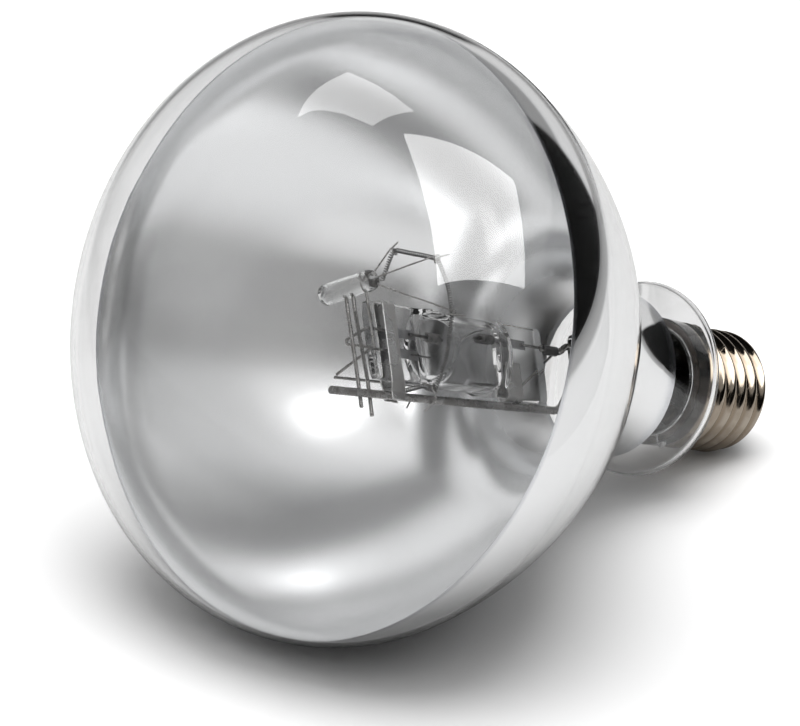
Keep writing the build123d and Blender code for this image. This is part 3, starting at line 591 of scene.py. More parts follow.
for node, height, root, tip in (
    ("front_electrode", main_foil_height, foil_rear + foil_overlap, hollow_front - rod_reach),
    ("rear_electrode", rear_foil_height, rear_foil_front - foil_overlap, hollow_rear + rod_reach),
):
    inward = np.sign(tip - root)
    rod = drawn(np.array([(rod_side, height, root), (rod_side, height, tip)]), circle(rod_diameter / 2, 14))
    winding_path = np.array([(rod_side, height, tip - inward * 5.2), (rod_side, height, tip - inward * 1.2)])
    winding = coil(winding_path, winding_diameter, rod_diameter, winding_pitch, side_way, 9, 24)
    make_piece(node + "_coil", [solid_of(on_mount(rod)), solid_of(on_mount(winding))], "tungsten", node)

# %% [markdown]
# ## Leads of the arc tube
# Short wires leave the pinches: a hairpin in front, the probe's lead to the starting circuit, and a stub
# at the rear that is welded to the stout lead. The probe itself is a bare tungsten wire inside the tube.

# %% Tube leads
lead_diameter = 0.6
starter_side, starter_front, starter_front_height = -8.0, -6.0, -7.3
hairpin_side, hairpin_place = -4.1, pinch_front + 2.4
hairpin_foot = (2 * lead_side + 0.3, probe_foil_height, pinch_front + 1.0)
starter_probe = [
    (probe_side, probe_foil_height, foil_rear + foil_overlap),
    (probe_side, probe_foil_height, tube_front - 2.8)]
front_main_lead = [
    (lead_side, main_foil_height, foil_front - foil_overlap),
    (lead_side, main_foil_height, pinch_front + 1.0),
    (hairpin_side, main_foil_height - 1.5, hairpin_place),
    (hairpin_side, main_foil_height - 2.5, hairpin_place),
    hairpin_foot]
probe_lead = [
    (lead_side, probe_foil_height, foil_front - foil_overlap),
    (lead_side, probe_foil_height, pinch_front + 0.5),
    (starter_side, starter_front_height + 0.62, starter_front - 0.6)]
rear_tube_lead = [
    (lead_side, rear_foil_height, rear_foil_rear + foil_overlap),
    (lead_side, rear_foil_height, rear_lead_front + weld_gap)]
mount_wire("starter_probe", starter_probe, 0.4, slot="tungsten")
mount_wire("front_main_lead", front_main_lead, lead_diameter, [0.5, 0.45, 0.45])
mount_wire("probe_lead", probe_lead, lead_diameter)
mount_wire("rear_tube_lead", rear_tube_lead, lead_diameter)

# %% [markdown]
# ## Mercury
# When the lamp is cold the mercury lies in small round drops on the lowest part of the tube.

# %% Mercury drops
mercury = []
for number, diameter in enumerate((1.3, 0.9, 0.7)):
    turn = radians(270 + (number - 1) * 9.0) - mount_turn
    lane = bore - diameter / 2 - weld_gap
    middle = (lane * cos(turn), tube_drop + lane * sin(turn), tube_rear + 6.5 + number * 1.3)
    mercury.append(solid_of(on_mount(ball(diameter, 20) + np.array(middle))))
make_piece("mercury_beads", mercury, "mercury", "mercury_drops")

# %% [markdown]
# ## Straps
# Two strips of steel hold the tube: the front one is bent right round the pinch and welded to the
# rail at both feet, the rear one is an open clip. A flat section with rounded edges is drawn along.

# %% Straps
strap_thickness, strap_skin, strap_edge, strap_bend, foot_bend = 0.3, 0.18, 0.08, 0.98, 0.6


def strap_piece(name, node, points, bends, place, width):
    """Strip: a flat section with rounded edges drawn along a path across the mount."""
    path = rounded([(x, y, place) for x, y in points], bends)
    half_t, half_w, edge = strap_thickness / 2, width / 2, strap_edge
    one_edge = np.array([
        (half_t, half_w - edge), (half_t - edge, half_w), (edge - half_t, half_w), (-half_t, half_w - edge)])
    grid = drawn(path, np.vstack([one_edge, -one_edge]), axis_way)
    make_piece(name, [solid_of(on_mount(grid))], "strap_steel", node, 30)


strap_place, clip_place, clip_height = -14.0, -52.2, 8.0
strap_side, strap_top = pinch_x + strap_skin, pinch_y + tube_drop + strap_skin
foot_height, foot_side = rail_height(strap_place), rail_radius + strap_skin
near_leg = [
    (foot_side, foot_height - 1.0), (foot_side, foot_height + 0.6), (strap_side, tube_drop - pinch_y - 0.6),
    (strap_side, strap_top)]
far_leg = [(-x, y) for x, y in reversed(near_leg)]
strap_bends = [foot_bend, foot_bend, strap_bend, strap_bend, foot_bend, foot_bend]
strap_piece("front_strap_band", "front_strap", near_leg + far_leg, strap_bends, strap_place, 3.8)
clip_bottom = rail_height(clip_place - 2.5) + rail_radius + weld_gap + strap_thickness / 2
near_side = [(strap_side, clip_bottom + clip_height), (strap_side, clip_bottom)]
far_side = [(-x, y) for x, y in reversed(near_side)]
strap_piece("rear_strap_clip", "rear_strap", near_side + far_side, strap_bend, clip_place, 5.0)

# %% [markdown]
# ## Starter circuit
# A thin rail runs past the far side of the tube to the starting resistor: a thin tip, a small ball
# and a rod of dark ceramic. A sleeve sits on the rear lead. They are turned about their own lines.

# %% Starter rail, resistor and sleeve
resistor_rear, resistor_rear_height, rail_run, resistor_length = -59.9, -5.3, 40.0, 13.9
starter_line = np.array([0.0, resistor_rear_height - starter_front_height, resistor_rear - starter_front])
starter_line = starter_line / -starter_line[2]
starter_root = np.array([starter_side, starter_front_height, starter_front])
starter_rail = [starter_root, starter_root + starter_line * rail_run / np.linalg.norm(starter_line)]
mount_wire("starter_rail", starter_rail, lead_diameter)
resistor_start = rail_run + weld_gap
resistor_profile = np.vstack([
    [(0, 0), (0.3, 0), (0.7, 2.7)],
    arc((0, 3.85), 1.05, -42, 84, 9),
    [(0.9, 4.9), (0.95, 4.98), (0.95, resistor_length - 0.1)],
    [(0.87, resistor_length), (0, resistor_length)],
]) + (0, resistor_start)
resistor = turned_along(starter_root, starter_root + starter_line, resistor_profile)
make_piece("starting_resistor_rod", [solid_of(on_mount(resistor))], "dark_ceramic", "starting_resistor", 40)
resistor_tail = starter_root + unit(starter_line) * (resistor_start + resistor_length + weld_gap)
resistor_lead = [resistor_tail, resistor_tail - (0, 0, 2.5), (-1.07, rear_foil_height, sleeve_end - 0.7)]
mount_wire("resistor_lead", resistor_lead, lead_diameter, 1.0)
sleeve_profile = [(0.77, 0), (0.95, 0), (1.05, 0.12), (1.05, 4.88), (0.95, 5.0), (0.77, 5.0)]
sleeve_ends = in_plane((rear_foil_height, rear_lead_front - 1.0), (rear_foil_height, sleeve_end))
sleeve = turned_along(*sleeve_ends, sleeve_profile)
make_piece("lead_sleeve_tube", [ring_of(on_mount(sleeve))], "dark_ceramic", "lead_sleeve", 40)

# %% [markdown]
# ## Ballast filament
# A long tungsten wire, wound into a fine coil, hangs round the arc tube and drops the mains voltage.
# The coil is real here: a wire that winds round a path, which bends where a hook holds it.

# %% Filament coil
filament_place, hook_bend, filament_outer, filament_wire, filament_pitch = -20.2, 1.3, 1.05, 0.24, 0.5
filament_route = [
    (-4.3, 13.5), (-0.3, 19.0), (10.4, 14.2), (12.25, 8.4), (12.3, 2.3), (9.75, -5.3), (5.4, -12.0),
    (2.4, -10.15), (-3.4, -9.9)]
filament_bends = (hook_bend, hook_bend, 12.0, hook_bend, 16.0, hook_bend, hook_bend)
filament_points = np.array([(x, y, filament_place) for x, y in filament_route])
filament_path = rounded(filament_points, filament_bends)
filament = coil(filament_path, filament_outer, filament_wire, filament_pitch, axis_way)
make_piece("filament_coil", [solid_of(on_mount(filament))], "tungsten", "ballast_filament")

# %% [markdown]
# ## Hooks
# Thin wires carry the filament: each runs to a bend of the coil, goes once round it and ends in a tail.

# %% Hooks
hook_diameter, loop_radius, loop_climb, tail_length = 0.35, 0.8, 0.7, 2.6


def hook_path(roots, corner):
    """From the roots to the filament's bend, then one turn of a helix round it and a straight tail."""
    before, bend, after = filament_points[corner - 1 : corner + 2]
    arm_in, arm_out = unit(before - bend), unit(after - bend)
    half = acos(arm_in @ arm_out) / 2
    middle = bend + unit(arm_in + arm_out) * (hook_bend / sin(half) - hook_bend)
    along = unit(arm_out - arm_in)
    arrival = middle - np.array(roots[-1])
    onward = unit(arrival - along * (arrival @ along))
    across = np.cross(along, onward)
    share = np.linspace(0, 1, 28)[:, None]
    turn = pi / 2 - 2 * pi * share
    ring = loop_radius * (np.cos(turn) * onward + np.sin(turn) * across)
    loop = middle + ring + along * loop_climb * (share - 0.5)
    tail = middle + onward * tail_length + across * loop_radius + along * loop_climb / 2
    return np.vstack([roots, loop, tail[None]]), along


bead_height, bead_place, bead_radius, rail_hook_place = 9.0, -4.0, 2.2, -25.2
bead_face = bead_place - bead_radius + 1.2
under_rail = rail_height(rail_hook_place) - rail_radius - hook_diameter / 2 - weld_gap
rail_hook_roots = [(x, under_rail + y, rail_hook_place) for x, y in ((-1.8, -0.9), (-0.18, 0), (1.2, 0))]
for node, corner, roots in (
    ("upper_hook_1", 1, [(5.0, bead_height + 0.9, bead_face)]),
    ("upper_hook_2", 2, [(6.0, bead_height + 0.5, bead_face)]),
    ("upper_hook_3", 4, [(6.0, bead_height - 0.6, bead_face)]),
    ("rail_hook", 6, rail_hook_roots),
):
    path, along = hook_path(roots, corner)
    hook = drawn(path, circle(hook_diameter / 2, 10), along)
    make_piece(node + "_wire", [solid_of(on_mount(hook))], "hook_wire", node)

# %% [markdown]
# ## Feed wires, bead and legs
# The upper hooks are set in a glass bead, which stands on two legs welded to the rail. A stay ties it to
# the hairpin, and two thin wires feed the filament. The bead is a rod with rounded ends, turned across.

# %% Feed wires, legs and bead
feed_diameter, leg_diameter, leg_lane, return_place = 0.4, 0.8, -1.145, -18.6
bead_bottom, bead_length, bead_edge, stay_side = bead_height - bead_radius, 14.4, 1.6, 4.4
leg_bend, leg_sink, leg_run, return_lane = 2.0, 1.2, 3.0, -1.07
filament_feed = [(3.4, bead_height + 0.2, bead_face), (-4.995, 13.5, filament_place)]
filament_return = [
    (-3.4, -10.595, filament_place), (return_lane, rail_height(filament_place), filament_place),
    (return_lane, rail_height(return_place) - 1.8, return_place)]
mount_wire("filament_feed", filament_feed, feed_diameter, slot="hook_wire")
mount_wire("filament_return", filament_return, feed_diameter, 0.8, slot="hook_wire")
for node, place, tail, leg_side in (("bead_leg_front", -4.7, 2.7, -0.9), ("bead_leg_rear", -7.7, 4.3, 0.9)):
    leg = [
        (leg_lane, rail_height(place) - tail, place), (leg_lane, rail_height(place) + leg_run, place),
        (leg_side, bead_bottom - leg_run, bead_place), (leg_side, bead_bottom + leg_sink, bead_place)]
    mount_wire(node, leg, leg_diameter, leg_bend)
bead_stay = [
    (stay_side, bead_bottom + leg_sink, bead_place), (stay_side, bead_bottom - leg_run, bead_place),
    (hairpin_foot[0] + 0.62, *hairpin_foot[1:])]
mount_wire("bead_stay", bead_stay, lead_diameter, leg_bend)
bead_profile = np.vstack([
    [(0, 0)],
    arc((bead_radius - bead_edge, bead_edge), bead_edge, -90, 90, 8),
    arc((bead_radius - bead_edge, bead_length - bead_edge), bead_edge, 0, 90, 8),
    [(0, bead_length)],
])
bead_ends = [(x, bead_height, bead_place) for x in (-bead_length / 2, bead_length / 2)]
bead = turned_along(*bead_ends, bead_profile, 32)
make_piece("glass_bead_rod", [solid_of(on_mount(bead))], "stem_glass", "glass_bead", 60)

# %% [markdown]
# ## Small tools for shader nodes
# A procedural finish is a little network of nodes. A few helpers keep the networks readable: arithmetic,
# a smooth step, a mix of two colours and cloudy noise. Each returns a socket, so they can be nested like
# ordinary functions.

# %% Shader helpers
def fill(tree, socket, value):
    """Link a socket into an input, or set the input to a number, colour or triple."""
    if isinstance(value, bpy.types.NodeSocket):
        tree.links.new(value, socket)
    elif socket.type == "RGBA":
        socket.default_value = (*value, 1.0)
    else:
        socket.default_value = value


def math(tree, operation, *values):
    """A Math node fed by sockets or numbers."""
    node = tree.nodes.new("ShaderNodeMath")
    node.operation = operation
    for socket, value in zip(node.inputs, values):
        fill(tree, socket, value)
    return node.outputs[0]


def vector_math(tree, operation, *values):
    """A Vector Math node fed by sockets or triples; returns the node's outputs."""
    node = tree.nodes.new("ShaderNodeVectorMath")
    node.operation = operation
    for socket, value in zip(node.inputs, values):
        fill(tree, socket, value)
    return node.outputs


def ramp(tree, value, start, end, low=0.0, high=1.0):
    """Smooth step: low below start, high above end, and an S-shaped rise between."""
    node = tree.nodes.new("ShaderNodeMapRange")
    node.interpolation_type = "SMOOTHSTEP"
    names = ("Value", "From Min", "From Max", "To Min", "To Max")
    for name, given in zip(names, (value, start, end, low, high)):
        fill(tree, node.inputs[name], given)
    return node.outputs["Result"]


def mix(tree, share, first, second):
    """Colour that goes from the first to the second as the share goes from 0 to 1."""
    node = tree.nodes.new("ShaderNodeMix")
    node.data_type = "RGBA"
    for index, value in ((0, share), (6, first), (7, second)):
        fill(tree, node.inputs[index], value)
    return node.outputs[2]


def noise(tree, place, scale, detail):
    """Cloudy noise between 0 and 1 about 0.5, with so many clouds to the unit of its place."""
    node = tree.nodes.new("ShaderNodeTexNoise")
    tree.links.new(place, node.inputs["Vector"])
    fill(tree, node.inputs["Scale"], scale)
    node.inputs["Detail"].default_value = detail
    return node.outputs["Fac"]


def grey(value):
    """Neutral colour of one brightness."""
    return (value, value, value)


print("shader helpers: math, vector math, ramp, mix, noise")

# %% [markdown]
# ## Effects that several finishes share
# Wear and making marks are alike on many pieces: clouds of tarnish, fine lines left by spinning and
# drawing, hair scratches, and a grain. Each is one shader node group with named sockets, built once and
# placed in each material with its own values. The lines have to run round the lamp, so one group first
# works out where a point lies: how far along the axis, how far from it and at what turn.

# %% Shared effects
def effect(name, inputs, outputs):
    """New node group with number sockets; returns its tree, its inputs' sockets and its outputs' sockets."""
    tree = bpy.data.node_groups.new(name, "ShaderNodeTree")
    for label, value in inputs.items():
        socket = tree.interface.new_socket(name=label, in_out="INPUT", socket_type="NodeSocketFloat")
        socket.default_value = value
    for label in outputs:
        tree.interface.new_socket(name=label, in_out="OUTPUT", socket_type="NodeSocketFloat")
    return tree, tree.nodes.new("NodeGroupInput").outputs, tree.nodes.new("NodeGroupOutput").inputs


def placed(tree, group_tree, **values):
    """Group node in a tree with its inputs set; returns its outputs."""
    node = tree.nodes.new("ShaderNodeGroup")
    node.node_tree = group_tree
    for label, value in values.items():
        fill(tree, node.inputs[label], value)
    return node.outputs


def object_place(tree):
    """Object coordinates, which are metres in the lamp's frame for every piece."""
    return tree.nodes.new("ShaderNodeTexCoord").outputs["Object"]


lamp_places, _, to = effect("lamp_places", {}, ("Along", "Radius", "Turn"))
offset = vector_math(lamp_places, "SUBTRACT", object_place(lamp_places), tuple(widest))[0]
parts = [vector_math(lamp_places, "DOT_PRODUCT", offset, tuple(axis))["Value"] for axis in (ahead, side, up)]
squares = [math(lamp_places, "POWER", part, 2.0) for part in parts[1:]]
radius = math(lamp_places, "SQRT", math(lamp_places, "ADD", *squares))
lamp_places.links.new(math(lamp_places, "DIVIDE", parts[0], MM), to["Along"])
lamp_places.links.new(math(lamp_places, "DIVIDE", radius, MM), to["Radius"])
lamp_places.links.new(math(lamp_places, "ARCTAN2", parts[2], parts[1]), to["Turn"])

clouds, given, to = effect("clouds", {"Scale": 100.0, "Low": 0.0, "High": 1.0, "Spread": 0.2}, ("Value",))
patches = noise(clouds, object_place(clouds), given["Scale"], 5.0)
edges = [math(clouds, sign, 0.5, given["Spread"]) for sign in ("SUBTRACT", "ADD")]
clouds.links.new(ramp(clouds, patches, *edges, given["Low"], given["High"]), to["Value"])

spun_lines, given, to = effect("spun_lines", {"Lines": 4.0}, ("Height",))
places = placed(spun_lines, lamp_places)
stretched = spun_lines.nodes.new("ShaderNodeCombineXYZ")
for socket, place, stretch in zip(stretched.inputs, places, (1.0, 1.0, 0.35)):
    spun_lines.links.new(math(spun_lines, "MULTIPLY", place, stretch), socket)
spun_lines.links.new(noise(spun_lines, stretched.outputs[0], given["Lines"], 4.0), to["Height"])

hair_scratches, given, to = effect("hair_scratches", {"Amount": 0.5}, ("Mask",))
marks = []
for turn in ((0.4, 0.2, 0.9), (1.3, 0.7, 2.2), (2.4, 1.1, 0.1)):
    turned_place = hair_scratches.nodes.new("ShaderNodeMapping")
    hair_scratches.links.new(object_place(hair_scratches), turned_place.inputs["Vector"])
    turned_place.inputs["Rotation"].default_value = turn
    turned_place.inputs["Scale"].default_value = (3200.0, 130.0, 130.0)
    marks.append(ramp(hair_scratches, noise(hair_scratches, turned_place.outputs[0], 1.0, 1.0), 0.70, 0.78))
strongest = math(hair_scratches, "MAXIMUM", math(hair_scratches, "MAXIMUM", marks[0], marks[1]), marks[2])
hair_scratches.links.new(math(hair_scratches, "MULTIPLY", strongest, given["Amount"]), to["Mask"])

grain, given, to = effect("grain", {"Scale": 3000.0, "Pits": 0.0}, ("Height",))
crystals = noise(grain, object_place(grain), given["Scale"], 6.0)
coarse = noise(grain, object_place(grain), math(grain, "MULTIPLY", given["Scale"], 0.4), 1.0)
pits = math(grain, "MULTIPLY", ramp(grain, coarse, 0.62, 0.7), given["Pits"])
grain.links.new(math(grain, "SUBTRACT", crystals, pits), to["Height"])
print("shared effects:", ", ".join(g.name for g in bpy.data.node_groups))

# %% [markdown]
# ## A finish for each material
# Every finish starts from one Principled shader whose constants are set on its own sockets. What changes
# over the surface comes from the shared effects: it goes into the colour, the roughness or the height of
# a Bump node.

# %% Starting a finish
finishes = {}


def finish(slot, metallic=0.0, roughness=0.3, transmission=0.0, ior=1.5):
    """New material for a slot with one Principled shader; returns its node tree and the shader's inputs."""
    material = bpy.data.materials.new(slot)
    material.use_nodes = True
    inputs = material.node_tree.nodes["Principled BSDF"].inputs
    inputs["Metallic"].default_value = metallic
    inputs["Roughness"].default_value = roughness
    inputs["Transmission Weight"].default_value = transmission
    inputs["IOR"].default_value = ior
    finishes[slot] = material
    print("finish:", slot)
    return material.node_tree, inputs


def relief(tree, inputs, height, depth):
    """Bump node: a height of 0 to 1 stands for so many metres of relief."""
    node = tree.nodes.new("ShaderNodeBump")
    node.inputs["Strength"].default_value = 1.0
    node.inputs["Distance"].default_value = depth
    tree.links.new(height, node.inputs["Height"])
    tree.links.new(node.outputs["Normal"], inputs["Normal"])


# %% [markdown]
# ## Glass
# The bulb is blown soda-lime glass, the stem and bead are lead glass and the arc tube is drawn quartz.
# All are clear, and what tells them from a perfect lens is a faint waviness that the mould and the flame
# leave. So the colour is almost white, and a long, very shallow ripple goes into the Bump. The quartz has
# a lower index than the real one, because the thin tube is hardly seen in the lamp.

# %% Glass finishes
for slot, colour, ior, ripple, depth in (
    ("clear_glass", (0.995, 0.995, 0.995), 1.5, 45.0, 6e-6),
    ("stem_glass", (0.985, 0.99, 0.985), 1.54, 220.0, 8e-6),
    ("quartz", (0.99, 0.99, 0.99), 1.13, 160.0, 5e-6),
):
    tree, inputs = finish(slot, roughness=0.0, transmission=1.0, ior=ior)
    fill(tree, inputs["Base Color"], colour)
    relief(tree, inputs, placed(tree, clouds, Scale=ripple, Spread=0.5)["Value"], depth)

# %% [markdown]
# ## Mirror film
# Aluminium is evaporated onto the inside of the bowl. Seen through the glass from outside it is a bright
# mirror. Its bare inner side has a haze, most of all in the throat, where the vapour arrives at a slant, and
# it thins at its two edges. The normal tells the two sides apart: inside, it points to the axis. Deep
# reflections end in a painted grey glow, which stands in for light that goes round the bowl many times.

# %% Mirror finish
dull_from, dull_to, haze_bowl, haze_throat = -60.0, -74.0, 0.17, 0.3
tree, inputs = finish("mirror_film", metallic=1.0)
places = placed(tree, lamp_places)
along, turn = places["Along"], places["Turn"]
front_edge = ramp(tree, along, coating_front - 1.2, coating_front - 0.2)
rear_edge = ramp(tree, along, coating_rear + 3.0, coating_rear)
thin_edge = math(tree, "MAXIMUM", front_edge, rear_edge)
fill(tree, inputs["Base Color"], mix(tree, thin_edge, (0.925, 0.93, 0.935), (0.74, 0.75, 0.78)))
haze = placed(tree, clouds, Scale=38.0, Low=0.003, High=0.014)["Value"]
scratch = placed(tree, hair_scratches, Amount=0.012)["Mask"]
normal = tree.nodes.new("ShaderNodeTexCoord").outputs["Normal"]
lean = [vector_math(tree, "DOT_PRODUCT", normal, tuple(axis))["Value"] for axis in (side, up)]
lean = [math(tree, "MULTIPLY", part, math(tree, wave, turn)) for part, wave in zip(lean, ("COSINE", "SINE"))]
on_inside = math(tree, "LESS_THAN", math(tree, "ADD", *lean), 0.0)
inner_haze = ramp(tree, along, dull_from, dull_to, haze_bowl, haze_throat)
dull_inside = math(tree, "MULTIPLY", on_inside, inner_haze)
marks = math(tree, "ADD", math(tree, "ADD", haze, scratch), math(tree, "MULTIPLY", thin_edge, 0.2))
fill(tree, inputs["Roughness"], math(tree, "ADD", marks, dull_inside))
light_path = tree.nodes.new("ShaderNodeLightPath")
# Painted glow: past three glossy bounces the film emits a flat grey in place of the light it would gather.
painted_deep_glow = math(tree, "GREATER_THAN", light_path.outputs["Glossy Depth"], 3.5)
fill(tree, inputs["Emission Color"], mix(tree, painted_deep_glow, grey(0.0), grey(0.48)))
inputs["Emission Strength"].default_value = 1.0

# %% [markdown]
# ## Cap metals
# The screw shell is pressed brass with a warm nickel plate, bright on the crests that rub in a socket.
# Down in the roots it is painted brown and dull: partly tarnish, partly painted shade. The depth below the
# crest is the distance from the axis, so it picks the colour. The skirt near the neck is painted almost
# black as painted shade. Spinning leaves fine lines round the shell, and handling leaves hair scratches.

# %% Cap finishes
tree, inputs = finish("nickel_plate", metallic=1.0)
places = placed(tree, lamp_places)
# Painted shade, partly tarnish: the thread roots are darker and duller than the crests.
root_painted_shade = ramp(tree, places["Radius"], thread_radius - 0.25, root_radius + 0.1)
stain = placed(tree, clouds, Scale=260.0, Low=0.0, High=0.5, Spread=0.16)["Value"]
stain_and_root_shade = math(tree, "MAXIMUM", math(tree, "MULTIPLY", root_painted_shade, 0.75), stain)
plate = mix(tree, stain_and_root_shade, (0.41, 0.36, 0.3), (0.22, 0.17, 0.12))
# Painted shade: the skirt is painted almost black near the neck.
skirt_painted_shade = ramp(tree, places["Along"], skirt_end - 0.5, skirt_end + 1.0)
fill(tree, inputs["Base Color"], mix(tree, skirt_painted_shade, plate, (0.022, 0.018, 0.015)))
scratch = placed(tree, hair_scratches, Amount=0.2)["Mask"]
sheen = math(tree, "ADD", 0.06, math(tree, "MULTIPLY", stain_and_root_shade, 0.12))
fill(tree, inputs["Roughness"], math(tree, "ADD", scratch, sheen))
relief(tree, inputs, placed(tree, spun_lines, Lines=5.0)["Height"], 1.2e-5)

tree, inputs = finish("contact_metal", metallic=1.0)
stain = placed(tree, clouds, Scale=420.0, Spread=0.15)["Value"]
fill(tree, inputs["Base Color"], mix(tree, stain, (0.68, 0.64, 0.58), (0.45, 0.4, 0.34)))
scratch = placed(tree, hair_scratches, Amount=0.35)["Mask"]
sheen = math(tree, "ADD", 0.2, math(tree, "MULTIPLY", stain, 0.2))
fill(tree, inputs["Roughness"], math(tree, "ADD", scratch, sheen))
relief(tree, inputs, placed(tree, spun_lines, Lines=7.0)["Height"], 1.5e-5)

tree, inputs = finish("solder", metallic=1.0)
frost = placed(tree, clouds, Scale=1500.0, Spread=0.12)["Value"]
fill(tree, inputs["Base Color"], mix(tree, frost, (0.62, 0.62, 0.61), (0.42, 0.42, 0.42)))
fill(tree, inputs["Roughness"], ramp(tree, frost, 0.0, 1.0, 0.25, 0.5))
relief(tree, inputs, placed(tree, grain, Scale=2500.0)["Height"], 4e-5)

# %% [markdown]
# ## Black glass, cement and ceramic
# The insulator is black glass moulded against the shell, glossy with shallow flow marks. The basing
# cement is a grainy paste painted dark brown, as painted shade. The lead's sleeve and the resistor are
# fired ceramic, dark, matt and finely pitted. Grain and pits are heights; the colour follows them a little.

# %% Black glass, cement and ceramic finishes
tree, inputs = finish("black_glass", roughness=0.1, ior=1.52)
flow = placed(tree, clouds, Scale=240.0)["Value"]
fill(tree, inputs["Base Color"], mix(tree, flow, (0.008, 0.008, 0.01), (0.022, 0.02, 0.022)))
fill(tree, inputs["Roughness"], ramp(tree, flow, 0.0, 1.0, 0.05, 0.16))
relief(tree, inputs, placed(tree, spun_lines, Lines=1.2)["Height"], 6e-5)

for slot, light, dark, scale, depth, dullness in (
    # The cement's dark brown is painted shade; its grain is real.
    ("cement", (0.1, 0.075, 0.055), (0.05, 0.038, 0.03), 1600.0, 1.2e-4, 0.9),
    ("dark_ceramic", (0.13, 0.127, 0.124), (0.06, 0.06, 0.062), 5200.0, 2.5e-5, 0.5),
):
    tree, inputs = finish(slot, roughness=dullness)
    height = placed(tree, grain, Scale=scale, Pits=0.5)["Height"]
    fill(tree, inputs["Base Color"], mix(tree, ramp(tree, height, 0.2, 0.6), dark, light))
    fill(tree, inputs["Roughness"], ramp(tree, height, 0.2, 0.7, dullness, dullness - 0.15))
    relief(tree, inputs, height, depth)

# %% [markdown]
# ## Mount metals
# The mount is welded up from drawn and rolled metal: nickel plated rails, steel straps, dark molybdenum
# foils and tungsten. They differ in colour and gloss, and share the same small faults, which are clouds of
# oxide, a grain along the drawing direction and hair scratches. One loop places the effects with each
# metal's own values. Mercury is the exception: it is a clean liquid mirror with a thin skin of oxide.

# %% Mount finishes
for slot, bright, oxide, scale, shine, dullness, depth in (
    ("plated_wire", (0.36, 0.355, 0.35), (0.26, 0.25, 0.24), 400.0, 0.2, 0.32, 3e-6),
    ("hook_wire", (0.44, 0.43, 0.42), (0.3, 0.29, 0.28), 600.0, 0.22, 0.38, 3e-6),
    ("strap_steel", (0.58, 0.58, 0.575), (0.5, 0.49, 0.48), 200.0, 0.24, 0.34, 2e-6),
    ("molybdenum", (0.5, 0.5, 0.51), (0.36, 0.36, 0.37), 500.0, 0.3, 0.42, 3e-6),
    ("tungsten", (0.24, 0.235, 0.23), (0.15, 0.148, 0.15), 900.0, 0.3, 0.45, 3e-6),
    ("mercury", (0.82, 0.83, 0.85), (0.7, 0.7, 0.71), 1500.0, 0.02, 0.12, 3e-6),
):
    tree, inputs = finish(slot, metallic=1.0)
    cloud = placed(tree, clouds, Scale=scale, Spread=0.18)["Value"]
    scratch = placed(tree, hair_scratches, Amount=0.12)["Mask"]
    fill(tree, inputs["Base Color"], mix(tree, cloud, bright, oxide))
    fill(tree, inputs["Roughness"], math(tree, "ADD", scratch, ramp(tree, cloud, 0.0, 1.0, shine, dullness)))
    relief(tree, inputs, placed(tree, grain, Scale=scale * 5.0)["Height"], depth)

for piece in all_pieces.values():
    piece.data.materials.append(finishes[piece["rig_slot"]])
print("pieces with a finish:", len(all_pieces))

# %% [markdown]
# ## Studio
# A mirror shows the room and nothing else, so the room is what has to be made. It is painted on the
# sky by direction: a pale ceiling, soft boxes above the front, grey walls that are dark behind the camera,
# a white sheet behind on the left and black cloth behind on the right.

# %% Studio sky
world = bpy.data.worlds.new("studio")
bpy.context.scene.world = world
world.use_nodes = True
sky = world.node_tree
coordinates = sky.nodes.new("ShaderNodeTexCoord")
axes = sky.nodes.new("ShaderNodeSeparateXYZ")
sky.links.new(coordinates.outputs["Generated"], axes.inputs[0])
bearing = math(sky, "MULTIPLY", math(sky, "ARCTAN2", axes.outputs["X"], axes.outputs["Y"]), 180 / pi)
height = math(sky, "MULTIPLY", math(sky, "ARCSINE", axes.outputs["Z"]), 180 / pi)


def panel(middle, half_width, low, high, soft):
    """Mask of a panel on the sky: bearing near its middle and height between two edges, in degrees."""
    turned_by = math(sky, "WRAP", math(sky, "SUBTRACT", bearing, middle), 180.0, -180.0)
    across = ramp(sky, math(sky, "ABSOLUTE", turned_by), half_width + soft, half_width - soft)
    above = ramp(sky, height, low - soft, low + soft)
    below = ramp(sky, height, high + soft, high - soft)
    return math(sky, "MULTIPLY", across, math(sky, "MULTIPLY", above, below))


paint = mix(sky, ramp(sky, height, 12, 70), grey(0.42), grey(0.95))
for brightness, middle, half_width, low, high, soft in (
    (0.28, -24, 26, -20, 36, 3),
    (0.66, -24, 26, -20, 14, 2),
    (0.01, -42, 8, -15, 7, 1.5),
    (0.004, 30, 34, -8, 36, 1.5),
    (0.04, 76, 14, -40, 34, 4),
    (0.17, -172, 20, -4, 42, 7),
    (0.55, -130, 8, 12, 27, 2),
    (1.15, 112, 26, 36, 75, 9),
    (3.0, 114, 11, 50, 64, 5),
    (0.14, 148, 24, 2, 36, 5),
):
    paint = mix(sky, panel(middle, half_width, low, high, soft), paint, grey(brightness))
backdrop = sky.nodes["Background"]
sky.links.new(paint, backdrop.inputs["Color"])
backdrop.inputs["Strength"].default_value = 1.0
print("nodes in the sky:", len(sky.nodes))

# %% [markdown]
# ## Floor
# The lamp lies on a plain pale table. It is one large square with a painted pool of light, white where the
# lamp lies and grey further off, and painted a little darker in reflections than to the eye, so that the
# mirror's lower half keeps some form.

# %% Floor
reach, drop, light_pool_middle = 6.0, -0.0002, (-0.1, 0.11, 0.0)


def stage_square(name, corners):
    """One four-cornered face, not attached to the lamp, with a material of its own."""
    mesh = bpy.data.meshes.new(name)
    mesh.from_pydata([tuple(corner) for corner in corners], [], [(0, 1, 2, 3)])
    thing = bpy.data.objects.new(name, mesh)
    bpy.context.scene.collection.objects.link(thing)
    paint = bpy.data.materials.new(name)
    paint.use_nodes = True
    mesh.materials.append(paint)
    return thing, paint.node_tree, paint.node_tree.nodes["Principled BSDF"].inputs


